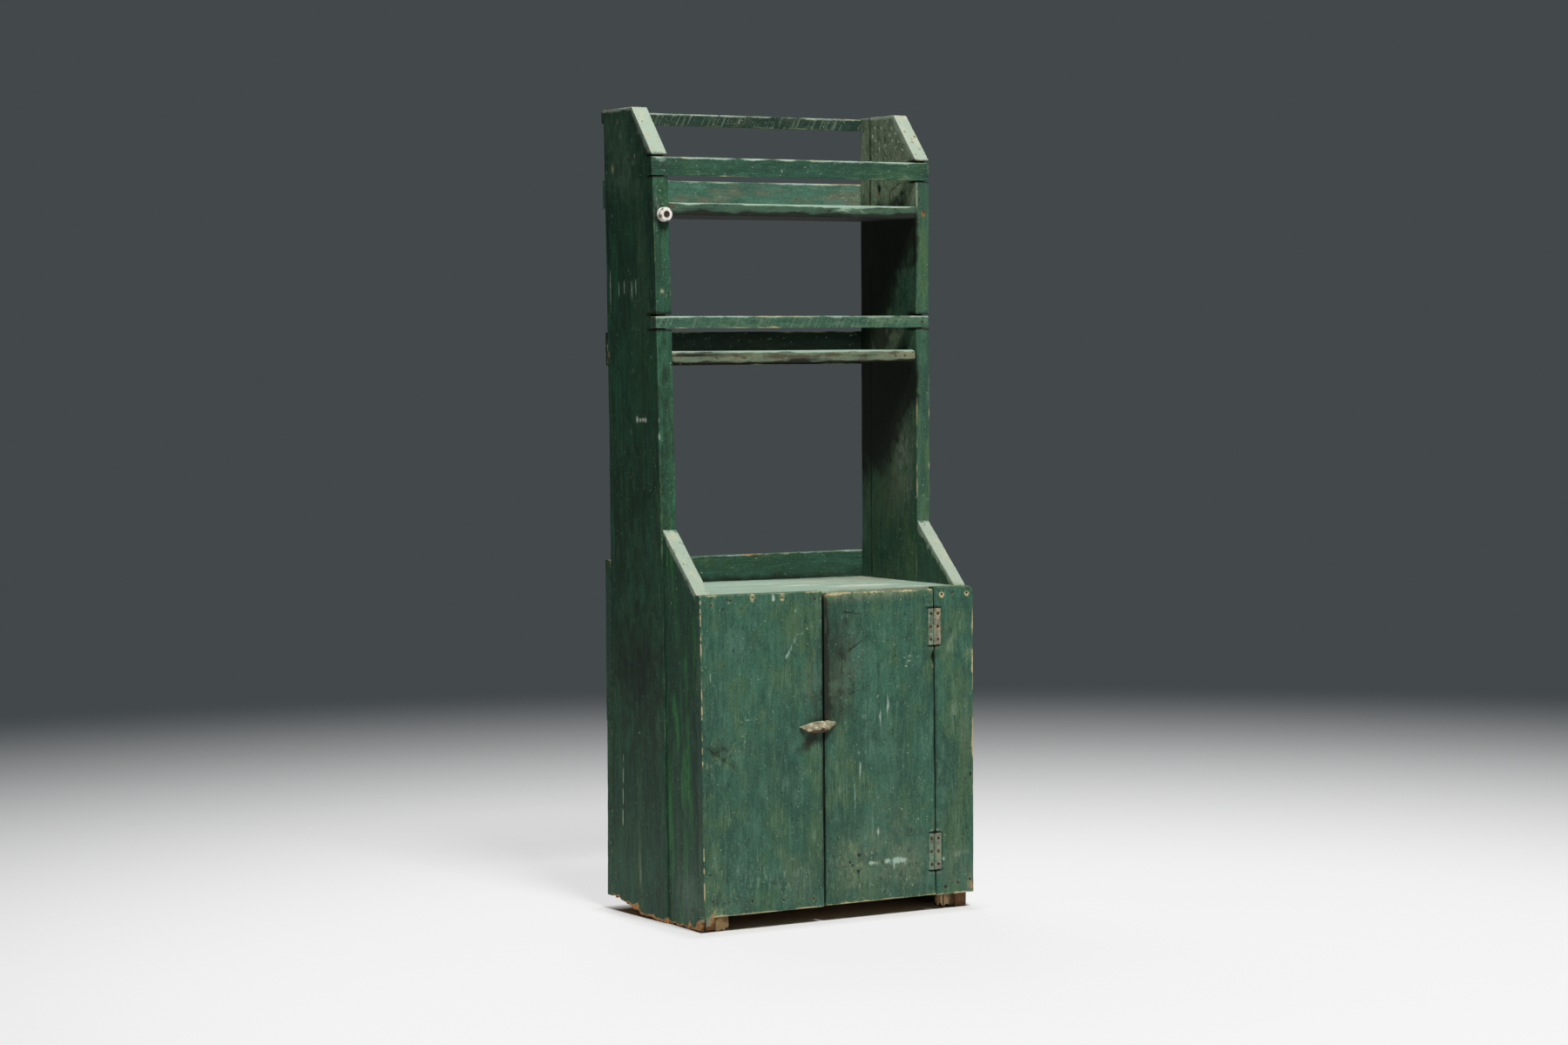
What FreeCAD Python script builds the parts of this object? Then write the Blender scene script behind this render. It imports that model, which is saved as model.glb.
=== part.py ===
import FreeCAD, Part
import os
import Sketcher

# Storage cabinet: a board-sided pine cupboard with an open two-shelf rack above it.
# Millimetres. +Z is up, the front faces -Y, +X is the right-hand side seen from the front.
# The origin is on the floor, under the middle of the cabinet's overall box.

Vector = FreeCAD.Vector
Rotation = FreeCAD.Rotation

document = FreeCAD.newDocument("storage_cabinet")
sheet = document.addObject("Spreadsheet::Sheet", "Sizes")


class Size:
    """A length of the sheet, or one worked out from such lengths, with its formula."""

    def __init__(self, value, formula):
        self.value = float(value)
        self.formula = formula

    def __add__(self, other):
        other = as_size(other)
        return Size(self.value + other.value, f"({self.formula} + {other.formula})")

    def __sub__(self, other):
        other = as_size(other)
        return Size(self.value - other.value, f"({self.formula} - {other.formula})")

    def __mul__(self, other):
        other = as_size(other)
        return Size(self.value * other.value, f"({self.formula} * {other.formula})")

    def __truediv__(self, other):
        other = as_size(other)
        return Size(self.value / other.value, f"({self.formula} / {other.formula})")

    def __neg__(self):
        return Size(-self.value, f"(0 - {self.formula})")


def as_size(number):
    if isinstance(number, Size):
        return number
    return Size(number, f"({number})")


def size(name, value, meaning):
    """Writes one driving size to the sheet and returns it."""
    row = size.rows = getattr(size, "rows", 0) + 1
    sheet.set(f"A{row}", meaning)
    sheet.set(f"B{row}", str(value))
    sheet.setAlias(f"B{row}", name)
    return Size(value, f"Sizes.{name}")


# Overall sizes
overall_width = size("overall_width", 677, "width over both sides at the top")
overall_height = size("overall_height", 1680, "floor to the top of the side boards")
case_depth = size("case_depth", 407, "face of the front boards to the back of the case")
left_lean = size("left_lean", 22, "outward lean of the left side over the full height")

# Side boards
left_board_thickness = size("left_board_thickness", 36, "left rear board")
right_board_thickness = size("right_board_thickness", 33, "right rear board")
front_board_recess = size("front_board_recess", 4, "outer face of the short front side boards")
rack_setback = size("rack_setback", 163, "face of the front boards to the rack's front edge")
right_strip_width = size("right_strip_width", 40, "strip joined to the right board's rear edge")
top_slope_run = size("top_slope_run", 87, "depth of the sloped cut at the rack's top")
top_slope_drop = size("top_slope_drop", 100, "height of the sloped cut at the rack's top")
case_slope_rise = size("case_slope_rise", 131, "height of the slope above the counter")
rotted_height = size("rotted_height", 30, "wood lost at the left side's rear foot")
rotted_reach = size("rotted_reach", 193, "length of the worn foot from the rear edge")

# Lower case
front_board_thickness = size("front_board_thickness", 22, "front boards and door")
front_bottom_gap = size("front_bottom_gap", 33, "floor to the front boards")
counter_height = size("counter_height", 682, "floor to the counter's top")
counter_thickness = size("counter_thickness", 22, "counter board")
bottom_board_height = size("bottom_board_height", 45, "floor to the underside of the bottom")
bottom_board_thickness = size("bottom_board_thickness", 22, "bottom board")
inner_shelf_height = size("inner_shelf_height", 356, "floor to the inner shelf's top")
inner_shelf_thickness = size("inner_shelf_thickness", 20, "inner shelf")
left_batten_width = size("left_batten_width", 32, "corner batten inside the left side")
right_batten_width = size("right_batten_width", 36, "corner batten inside the right side")
batten_depth = size("batten_depth", 24, "corner battens, front to back")
cleat_width = size("cleat_width", 20, "shelf cleats, side to side")
cleat_height = size("cleat_height", 25, "shelf cleats, top to bottom")

# Back boards of the case
back_thickness = size("back_thickness", 24, "upper back boards of the case")
low_back_thickness = size("low_back_thickness", 21, "lower back boards of the case")
backsplash_rise = size("backsplash_rise", 58, "upper back board above the counter")
upper_back_width = size("upper_back_width", 289, "height of the upper back board")
narrow_back_width = size("narrow_back_width", 53, "height of the narrow back board")
back_bottom_gap = size("back_bottom_gap", 30, "floor to the lowest back board")

# Rack
top_shelf_drop = size("top_shelf_drop", 198, "top of the sides to the top shelf's top")
shelf_spacing = size("shelf_spacing", 304, "between the tops of the two rack shelves")
middle_shelf_thickness = size("middle_shelf_thickness", 25, "middle shelf")
top_shelf_thickness = size("top_shelf_thickness", 26, "top shelf")
top_rail_drop = size("top_rail_drop", 5, "foot of the top slope to the top rail's top")
top_rail_width = size("top_rail_width", 38, "top front rail, top to bottom")
top_rail_thickness = size("top_rail_thickness", 18, "top front rail, front to back")
middle_rail_rise = size("middle_rail_rise", 72, "middle shelf's top to the middle rail's top")
middle_rail_width = size("middle_rail_width", 25, "middle rail, top to bottom")
middle_rail_thickness = size("middle_rail_thickness", 25, "middle rail, front to back")
rail_recess = size("rail_recess", 1.5, "rails behind the side boards' front edges")
rack_back_thickness = size("rack_back_thickness", 10, "thin boards on the rack's back")
back_rail_drop = size("back_rail_drop", 2, "top of the sides to the top back rail")
back_rail_width = size("back_rail_width", 25, "top back rail, top to bottom")
upper_rack_back_rise = size("upper_rack_back_rise", 55, "back board above the top shelf")
upper_rack_back_width = size("upper_rack_back_width", 61, "back board at the top shelf")
middle_rack_back_rise = size("middle_rack_back_rise", 40, "back board above the middle shelf")
middle_rack_back_width = size("middle_rack_back_width", 71, "back board at the middle shelf")

# Door and hinges
stile_width = size("stile_width", 95.5, "fixed board at the door's hinge side")
door_width = size("door_width", 269, "door")
hinge_gap = size("hinge_gap", 3, "between the door and the right stile")
meeting_gap = size("meeting_gap", 4.5, "between the left panel and the door")
door_top_drop = size("door_top_drop", 4, "counter's top to the door's top")
door_bottom_lift = size("door_bottom_lift", 1.5, "front boards' foot to the door's foot")
door_back_gap = size("door_back_gap", 0.5, "door's back to the edges behind it")
hinge_height = size("hinge_height", 76, "hinge leaves, top to bottom")
upper_hinge_drop = size("upper_hinge_drop", 82.5, "counter's top to the upper hinge's middle")
lower_hinge_rise = size("lower_hinge_rise", 93, "front boards' foot to the lower hinge's middle")
leaf_width = size("leaf_width", 15.5, "hinge axis to a leaf's outer edge")
leaf_thickness = size("leaf_thickness", 2.2, "hinge leaves")
knuckle_radius = size("knuckle_radius", 3.2, "hinge barrels")
knuckle_stand = size("knuckle_stand", 0.7, "hinge axis in front of the boards")
knuckle_play = size("knuckle_play", 0.4, "between neighbouring knuckles")
hinge_pin_radius = size("hinge_pin_radius", 1.5, "hinge pins")
hinge_pin_play = size("hinge_pin_play", 0.06, "around the hinge pins")
pin_head_radius = size("pin_head_radius", 2.6, "heads of the hinge pins")
pin_head_thickness = size("pin_head_thickness", 1.4, "heads of the hinge pins")
mortise_margin = size("mortise_margin", 2.5, "hinge recess around a leaf")
screw_inset = size("screw_inset", 8.5, "hinge axis to the leaf screws")
screw_pitch = size("screw_pitch", 27, "between a leaf's screws")
screw_head_radius = size("screw_head_radius", 3.2, "countersunk screw heads")
screw_radius = size("screw_radius", 1.7, "screw shanks")
screw_length = size("screw_length", 16, "screw shanks")

# Turn button
button_left_reach = size("button_left_reach", 49, "pivot to the button's left tip")
button_right_reach = size("button_right_reach", 38.5, "pivot to the button's right tip")
button_above = size("button_above", 17, "pivot to the button's upper edge")
button_below = size("button_below", 7, "pivot to the button's lower edge")
button_thickness = size("button_thickness", 16, "turn button")
button_play = size("button_play", 0.4, "between the button and the boards")
button_ridge = size("button_ridge", 3, "flat along the button's ridge")
button_tip = size("button_tip", 5, "thickness of the button's tips")
pivot_inset = size("pivot_inset", 9.7, "left panel's edge to the button's pivot")
pivot_height = size("pivot_height", 401, "floor to the button's pivot")
pivot_nail_radius = size("pivot_nail_radius", 1.9, "pivot nail")
pivot_nail_play = size("pivot_nail_play", 0.08, "around the pivot nail")
pivot_nail_depth = size("pivot_nail_depth", 19, "pivot nail inside the left panel")
pivot_head_radius = size("pivot_head_radius", 3.6, "pivot nail's head")
pivot_head_thickness = size("pivot_head_thickness", 1.4, "pivot nail's head")

# Porcelain knob
knob_radius = size("knob_radius", 15, "porcelain knob")
knob_length = size("knob_length", 16, "porcelain knob, off the board's edge")
knob_neck_radius = size("knob_neck_radius", 12, "groove of the knob")
knob_neck_length = size("knob_neck_length", 3, "groove of the knob")
knob_base_length = size("knob_base_length", 5, "flange against the board")
knob_round = size("knob_round", 4.5, "rounded front edge of the knob")
knob_drop = size("knob_drop", 25, "top shelf's top to the knob's middle")
knob_offset = size("knob_offset", 7, "knob off the board edge's middle line")
knob_bore_radius = size("knob_bore_radius", 2.6, "hole through the knob")
knob_recess_radius = size("knob_recess_radius", 5, "recess for the knob's screw head")
knob_recess_depth = size("knob_recess_depth", 3, "recess for the knob's screw head")
knob_screw_play = size("knob_screw_play", 0.25, "around the knob's screw")
knob_screw_grip = size("knob_screw_grip", 28, "knob's screw inside the side board")

# Nails
nail_radius = size("nail_radius", 1.5, "nail shanks under the head")
nail_tip_radius = size("nail_tip_radius", 0.5, "nail points")
nail_length = size("nail_length", 50, "nails")
nail_head_radius = size("nail_head_radius", 3.4, "nail heads")
nail_head_thickness = size("nail_head_thickness", 1.2, "nail heads")
nail_edge_inset = size("nail_edge_inset", 14, "nails from a board's end")
edge_nail_upper = size("edge_nail_upper", 66, "knob's middle to the upper nail above it")
edge_nail_middle = size("edge_nail_middle", 32, "knob's middle to the lower nail above it")
edge_nail_lower = size("edge_nail_lower", 161, "knob's middle to the nail below it")

document.recompute()

# Shares of a length at which an outline turns or a nail stands
ROT_TURNS = (0.43, 0.15)
KNUCKLES = 5
BUTTON_BELLY = (0.25, 0.6)
BUTTON_BELLY_DROP = 0.7
BUTTON_HEEL = (0.2, 0.62)
BUTTON_SHOULDERS = (0.1, 0.5, 0.85)
BUTTON_SHOULDER_RISES = (0.84, 0.58)
BUTTON_TIP_RISE = 0.38
BUTTON_HEEL_RISE = 0.2
BUTTON_NOSE_RISES = (0.58, 0.86)
BUTTON_NOSE = (0.94, 0.55)
BUTTON_TAPER = 0.35
SIDE_NAIL_ROWS = (0.2, 0.88)
FRONT_NAIL_ROW = 0.35
BACK_NAIL_ROWS = (0.2, 0.84)
CLEAT_NAIL_ROWS = (0.25, 0.75)
BATTEN_NAIL_ROWS = (0.3, 0.8)
PANEL_NAILS = 4
STILE_NAILS = 3

# Places worked out from the sizes
zero = Size(0, "(0)")
button_stand = button_play + button_thickness + pivot_head_thickness
right = overall_width / 2
front = (button_stand - case_depth) / 2
case_front = front + front_board_thickness
rack_front = front + rack_setback
back = front + case_depth
side_back = back - back_thickness
rack_depth = side_back - rack_front
right_inner = right - right_board_thickness
slope_foot = overall_height - top_slope_drop
top_rail_height = slope_foot - top_rail_drop
top_shelf_height = overall_height - top_shelf_drop
middle_shelf_height = top_shelf_height - shelf_spacing
middle_rail_height = middle_shelf_height + middle_rail_rise
knob_height = top_shelf_height - knob_drop
counter_under = counter_height - counter_thickness
bottom_top = bottom_board_height + bottom_board_thickness
inner_shelf_under = inner_shelf_height - inner_shelf_thickness
batten_back = case_front + batten_depth
stile_left = right - stile_width
door_right = stile_left - hinge_gap
door_left = door_right - door_width
panel_right = door_left - meeting_gap
hinge_x = stile_left - hinge_gap / 2
hinge_y = front - knuckle_stand
upper_hinge_middle = counter_height - upper_hinge_drop
lower_hinge_middle = front_bottom_gap + lower_hinge_rise
pivot_x = panel_right - pivot_inset


def left_outer(height):
    """The left side's outer face at this height."""
    return left_lean * (Size(1, "(1)") - as_size(height) / overall_height) - right


def left_inner(height):
    return left_outer(height) + left_board_thickness


def bind(thing, path, length):
    thing.setExpression(path, as_size(length).formula)


def place(thing, x=None, y=None, z=None):
    for letter, length in (("x", x), ("y", y), ("z", z)):
        if length is not None:
            bind(thing, f"Placement.Base.{letter}", length)


# Sketches
def sketch_on(body, role, name):
    planes = [part for part in body.Origin.OriginFeatures if part.Role == role]
    sketch = body.newObject("Sketcher::SketchObject", name)
    sketch.AttachmentSupport = [(planes[0], "")]
    sketch.MapMode = "FlatFace"
    return sketch


def draw(sketch, corners):
    """Draws a closed outline through corners, each (across, up) from the sketch's origin."""
    corners = [(as_size(across), as_size(up)) for across, up in corners]
    first = sketch.GeometryCount
    points = [Vector(across.value, up.value, 0) for across, up in corners]
    for number, point in enumerate(points):
        after = points[(number + 1) % len(points)]
        sketch.addGeometry(Part.LineSegment(point, after))
    for number in range(len(points)):
        after = (number + 1) % len(points)
        sketch.addConstraint(
            Sketcher.Constraint("Coincident", first + number, 2, first + after, 1)
        )
    for number, (across, up) in enumerate(corners):
        for kind, length in (("DistanceX", across), ("DistanceY", up)):
            index = sketch.addConstraint(
                Sketcher.Constraint(kind, -1, 1, first + number, 1, length.value)
            )
            bind(sketch, f"Constraints[{index}]", length)


def pocket_through(body, sketch, name, depth=None):
    pocket = body.newObject("PartDesign::Pocket", name)
    pocket.Profile = sketch
    if depth is None:
        pocket.Type = "ThroughAll"
        pocket.SideType = "Symmetric"
    else:
        bind(pocket, "Length", depth)
    document.recompute()
    if not pocket.Shape.Volume < pocket.BaseFeature.Shape.Volume:
        raise ValueError(f"{name} takes nothing away")


def cut(body, role, outlines, name, depth=None):
    """Cuts these outlines out of the body: right through it, or to a depth behind its face."""
    sketch = sketch_on(body, role, f"{name}_outline")
    for corners in outlines:
        draw(sketch, corners)
    pocket_through(body, sketch, name, depth)


sub_parts = []


def keep(thing, label):
    thing.Label = label
    sub_parts.append(thing)
    return thing


def board(label, corners, at_front, depth):
    """A board with this outline in the front view, from at_front back by depth."""
    body = document.addObject("PartDesign::Body", label)
    sketch = sketch_on(body, "XZ_Plane", f"{label}_outline")
    draw(sketch, corners)
    pad = body.newObject("PartDesign::Pad", f"{label}_pad")
    pad.Profile = sketch
    pad.Reversed = True
    bind(pad, "Length", depth)
    place(body, y=at_front)
    return keep(body, label)


def left_post(low, high, near, far):
    """Front-view outline that follows the left side's lean, near and far from its outer face."""
    return [
        (left_outer(low) + near, low),
        (left_outer(low) + far, low),
        (left_outer(high) + far, high),
        (left_outer(high) + near, high),
    ]


def right_post(low, high, near, far):
    return [(right - far, low), (right - near, low), (right - near, high), (right - far, high)]


def between_sides(low, high):
    """Front-view outline of a board that fits between the two sides."""
    return [
        (left_inner(low), low),
        (right_inner, low),
        (right_inner, high),
        (left_inner(high), high),
    ]


def across_sides(low, high):
    """Front-view outline of a board that ends flush with the outer faces of both sides."""
    return [(left_outer(low), low), (right, low), (right, high), (left_outer(high), high)]


# Side boards of the rack and case, with the sloped top and the notches for the front rails
spare = as_size(20)


def slope(low_across, low_up, high_across, high_up):
    """A triangle in front of the sloping line through the two points."""
    run = high_across - low_across
    rise = high_up - low_up
    return [
        (low_across - run / 4, low_up - rise / 4),
        (high_across + run / 4, high_up + rise / 4),
        (low_across - run / 4, high_up + rise / 4),
    ]


def notch(top, width, thickness):
    """The housing of a front rail in a side board's front edge."""
    depth = rail_recess + thickness
    low = top - width
    return [(-spare, low), (depth, low), (depth, top), (-spare, top)]


def rack_cuts():
    return [
        slope(zero, slope_foot, top_slope_run, overall_height),
        notch(top_rail_height, top_rail_width, top_rail_thickness),
        notch(middle_rail_height, middle_rail_width, middle_rail_thickness),
    ]


def rotted_foot():
    """The worn and rotted underside at the left side's rear corner."""
    start = rack_depth - rotted_reach
    middle = rack_depth - rotted_reach * ROT_TURNS[0]
    end = rack_depth - rotted_reach * ROT_TURNS[1]
    return [
        (start, zero),
        (start, -spare),
        (rack_depth + spare, -spare),
        (rack_depth + spare, rotted_height),
        (end, rotted_height),
        (middle, rotted_height * ROT_TURNS[0]),
    ]


def side_boards():
    left_board = board(
        "left_side_rear_board",
        left_post(zero, overall_height, zero, left_board_thickness),
        rack_front,
        rack_depth,
    )
    cut(left_board, "YZ_Plane", rack_cuts() + [rotted_foot()], "left_side_cuts")
    right_board = board(
        "right_side_rear_board",
        right_post(zero, overall_height, zero, right_board_thickness),
        rack_front,
        rack_depth - right_strip_width,
    )
    cut(right_board, "YZ_Plane", rack_cuts(), "right_side_cuts")
    board(
        "right_side_rear_strip",
        right_post(zero, overall_height, zero, right_board_thickness),
        side_back - right_strip_width,
        right_strip_width,
    )
    front_run = rack_front - case_front
    slope_head = counter_height + case_slope_rise
    front_slope = slope(zero, counter_height, front_run, slope_head)
    left_front = board(
        "left_side_front_board",
        left_post(zero, slope_head, front_board_recess, left_board_thickness),
        case_front,
        front_run,
    )
    cut(left_front, "YZ_Plane", [front_slope], "left_front_slope")
    right_front = board(
        "right_side_front_board",
        right_post(zero, slope_head, front_board_recess, right_board_thickness),
        case_front,
        front_run,
    )
    cut(right_front, "YZ_Plane", [front_slope], "right_front_slope")


# Shelves, counter and bottom
def shelves():
    rack_shelves = (
        ("top_shelf", top_shelf_height, top_shelf_thickness),
        ("middle_shelf", middle_shelf_height, middle_shelf_thickness),
    )
    for label, top, thickness in rack_shelves:
        board(label, between_sides(top - thickness, top), rack_front, rack_depth)
    case_inside = side_back - case_front
    board("counter_top", between_sides(counter_under, counter_height), case_front, case_inside)
    board(
        "inner_shelf",
        between_sides(inner_shelf_under, inner_shelf_height),
        batten_back,
        side_back - batten_back,
    )
    bottom = board(
        "case_bottom",
        between_sides(bottom_board_height, bottom_top),
        case_front,
        case_inside,
    )
    low = bottom_board_height - spare
    high = bottom_top + spare
    corner_notches = [
        left_post(low, high, zero, left_board_thickness + left_batten_width),
        right_post(low, high, -spare, right_board_thickness + right_batten_width),
    ]
    cut(bottom, "XZ_Plane", corner_notches, "bottom_corner_notches", depth=batten_depth)


# Rails and back boards
def rails_and_backs():
    front_rails = (
        ("top_front_rail", top_rail_height, top_rail_width, top_rail_thickness),
        ("middle_front_rail", middle_rail_height, middle_rail_width, middle_rail_thickness),
    )
    for label, top, width, thickness in front_rails:
        board(label, across_sides(top - width, top), rack_front + rail_recess, thickness)
    for label, top, width in rack_backs():
        board(label, across_sides(top - width, top), side_back, rack_back_thickness)
    for label, top, width, thickness in case_backs():
        board(label, across_sides(top - width, top), side_back, thickness)


def rack_backs():
    return (
        ("top_back_rail", overall_height - back_rail_drop, back_rail_width),
        ("upper_back_board", top_shelf_height + upper_rack_back_rise, upper_rack_back_width),
        ("middle_back_board", middle_shelf_height + middle_rack_back_rise, middle_rack_back_width),
    )


def case_backs():
    top = counter_height + backsplash_rise
    narrow_top = top - upper_back_width
    low_top = narrow_top - narrow_back_width
    low_width = (low_top - back_bottom_gap) / 2
    return (
        ("case_back_upper_board", top, upper_back_width, back_thickness),
        ("case_back_narrow_board", narrow_top, narrow_back_width, back_thickness),
        ("case_back_middle_board", low_top, low_width, low_back_thickness),
        ("case_back_lower_board", low_top - low_width, low_width, low_back_thickness),
    )


# Battens and cleats inside the case
def battens_and_cleats():
    board(
        "front_batten_left",
        left_post(
            zero, counter_under, left_board_thickness, left_board_thickness + left_batten_width
        ),
        case_front,
        batten_depth,
    )
    board(
        "front_batten_right",
        right_post(
            zero, counter_under, right_board_thickness, right_board_thickness + right_batten_width
        ),
        case_front,
        batten_depth,
    )
    for name, top in cleat_tops():
        low = top - cleat_height
        left = left_post(low, top, left_board_thickness, left_board_thickness + cleat_width)
        other = right_post(low, top, right_board_thickness, right_board_thickness + cleat_width)
        board(f"{name}_cleat_left", left, batten_back, side_back - batten_back)
        board(f"{name}_cleat_right", other, batten_back, side_back - batten_back)


def cleat_tops():
    return (
        ("counter", counter_under),
        ("inner_shelf", inner_shelf_under),
        ("bottom", bottom_board_height),
    )


# Front boards and door
def mortises(side):
    """Hinge recesses in the board on one side of the hinge axis: -1 the door, +1 the stile."""
    leaves = []
    barrels = []
    for middle in (upper_hinge_middle, lower_hinge_middle):
        low = middle - hinge_height / 2 - mortise_margin
        high = middle + hinge_height / 2 + mortise_margin
        outer = hinge_x + (leaf_width + mortise_margin) * side
        barrel = hinge_x + (knuckle_radius + knuckle_play) * side
        leaves.append([(hinge_x, low), (outer, low), (outer, high), (hinge_x, high)])
        barrels.append([(hinge_x, low), (barrel, low), (barrel, high), (hinge_x, high)])
    return leaves, barrels


def let_in_hinges(body, side, name):
    leaves, barrels = mortises(side)
    barrel_depth = knuckle_radius + knuckle_play - knuckle_stand
    cut(body, "XZ_Plane", leaves, f"{name}_mortises", depth=leaf_thickness)
    cut(body, "XZ_Plane", barrels, f"{name}_barrel_recesses", depth=barrel_depth)


def front_boards():
    left_edge = left_post(front_bottom_gap, counter_height, zero, zero)
    board(
        "front_left_panel",
        [
            left_edge[0],
            (panel_right, front_bottom_gap),
            (panel_right, counter_height),
            left_edge[3],
        ],
        front,
        front_board_thickness,
    )
    stile = board(
        "front_right_stile",
        right_post(front_bottom_gap, counter_height, zero, stile_width),
        front,
        front_board_thickness,
    )
    let_in_hinges(stile, 1, "stile")
    door_low = front_bottom_gap + door_bottom_lift
    door_high = counter_height - door_top_drop
    door = board(
        "door_board",
        [
            (door_left, door_low),
            (door_right, door_low),
            (door_right, door_high),
            (door_left, door_high),
        ],
        front,
        front_board_thickness - door_back_gap,
    )
    let_in_hinges(door, -1, "door")


# Solids of revolution and blocks
ALONG_Z = Rotation()
ALONG_X = Rotation(Vector(0, 1, 0), 90)
AGAINST_X = Rotation(Vector(0, 1, 0), -90)
ALONG_Y = Rotation(Vector(1, 0, 0), -90)
AGAINST_Y = Rotation(Vector(1, 0, 0), 90)


def cylinder(name, radius, length, turn, x, y, z):
    thing = document.addObject("Part::Cylinder", name)
    thing.Placement = FreeCAD.Placement(Vector(), turn)
    bind(thing, "Radius", radius)
    bind(thing, "Height", length)
    place(thing, x, y, z)
    return thing


def cone(name, start_radius, end_radius, length, turn, x, y, z):
    thing = document.addObject("Part::Cone", name)
    thing.Placement = FreeCAD.Placement(Vector(), turn)
    bind(thing, "Radius1", start_radius)
    bind(thing, "Radius2", end_radius)
    bind(thing, "Height", length)
    place(thing, x, y, z)
    return thing


def block(name, low, high):
    thing = document.addObject("Part::Box", name)
    for path, near, far in zip(("Length", "Width", "Height"), low, high):
        bind(thing, path, far - near)
    place(thing, *low)
    return thing


def fused(name, things):
    thing = document.addObject("Part::MultiFuse", name)
    thing.Shapes = things
    return thing


def cut_away(name, base, tools):
    thing = document.addObject("Part::Cut", name)
    thing.Base = base
    thing.Tool = tools[0] if len(tools) == 1 else fused(f"{name}_tools", tools)
    return thing


def group(label, things):
    thing = document.addObject("Part::Compound", label)
    thing.Links = things
    return keep(thing, label)


# Hinges, with more knuckles on the stile's leaf than on the door's
def knuckle_span(middle, number):
    pitch = hinge_height / KNUCKLES
    low = middle - hinge_height / 2 + pitch * number
    return low + knuckle_play / 2, low + pitch - knuckle_play / 2


def screw_heights(middle):
    return [middle + screw_pitch * step for step in (-1, 0, 1)]


def hinge_leaf(label, middle, side):
    """A leaf with its knuckles: side -1 is the door's, +1 the stile's."""
    inner = hinge_x + (knuckle_radius + knuckle_play) * side
    outer = hinge_x + leaf_width * side
    near, far = (outer, inner) if side < 0 else (inner, outer)
    leaf_back = front + leaf_thickness
    bottom = middle - hinge_height / 2
    top = middle + hinge_height / 2
    solids = [block(f"{label}_plate", (near, front, bottom), (far, leaf_back, top))]
    for number in range(KNUCKLES):
        if (number % 2 == 0) != (side > 0):
            continue
        low, high = knuckle_span(middle, number)
        web_near, web_far = (inner, hinge_x) if side < 0 else (hinge_x, inner)
        solids.append(
            block(f"{label}_web_{number}", (web_near, front, low), (web_far, leaf_back, high))
        )
        solids.append(
            cylinder(
                f"{label}_knuckle_{number}", knuckle_radius, high - low, ALONG_Z,
                hinge_x, hinge_y, low,
            )
        )
    bore = cylinder(
        f"{label}_bore", hinge_pin_radius + hinge_pin_play, hinge_height, ALONG_Z,
        hinge_x, hinge_y, bottom,
    )
    screw_x = hinge_x + screw_inset * side
    seats = [
        cone(
            f"{label}_seat_{number}", screw_head_radius, screw_radius, leaf_thickness, ALONG_Y,
            screw_x, front, height,
        )
        for number, height in enumerate(screw_heights(middle))
    ]
    leaf = cut_away(label, fused(f"{label}_body", solids), [bore] + seats)
    return keep(leaf, label)


def hinge_pin(label, middle):
    bottom = middle - hinge_height / 2
    rod = cylinder(f"{label}_rod", hinge_pin_radius, hinge_height, ALONG_Z,
                   hinge_x, hinge_y, bottom)
    head = cylinder(f"{label}_head", pin_head_radius, pin_head_thickness, ALONG_Z,
                    hinge_x, hinge_y, bottom + hinge_height)
    return keep(fused(label, [rod, head]), label)


def leaf_screws(label, side):
    """The countersunk screws of the leaves on one side of both hinges."""
    screws = []
    screw_x = hinge_x + screw_inset * side
    for middle in (upper_hinge_middle, lower_hinge_middle):
        for height in screw_heights(middle):
            name = f"{label}_{len(screws)}"
            head = cone(f"{name}_head", screw_head_radius, screw_radius, leaf_thickness,
                        ALONG_Y, screw_x, front, height)
            shank = cone(f"{name}_shank", screw_radius, nail_tip_radius, screw_length,
                         ALONG_Y, screw_x, front + leaf_thickness, height)
            screws.append(fused(name, [head, shank]))
    return group(label, screws)


def hinges():
    for name, middle in (("upper", upper_hinge_middle), ("lower", lower_hinge_middle)):
        hinge_leaf(f"{name}_hinge_stile_leaf", middle, 1)
        hinge_leaf(f"{name}_hinge_door_leaf", middle, -1)
        hinge_pin(f"{name}_hinge_pin", middle)
    leaf_screws("stile_leaf_screws", 1)
    leaf_screws("door_leaf_screws", -1)


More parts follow.
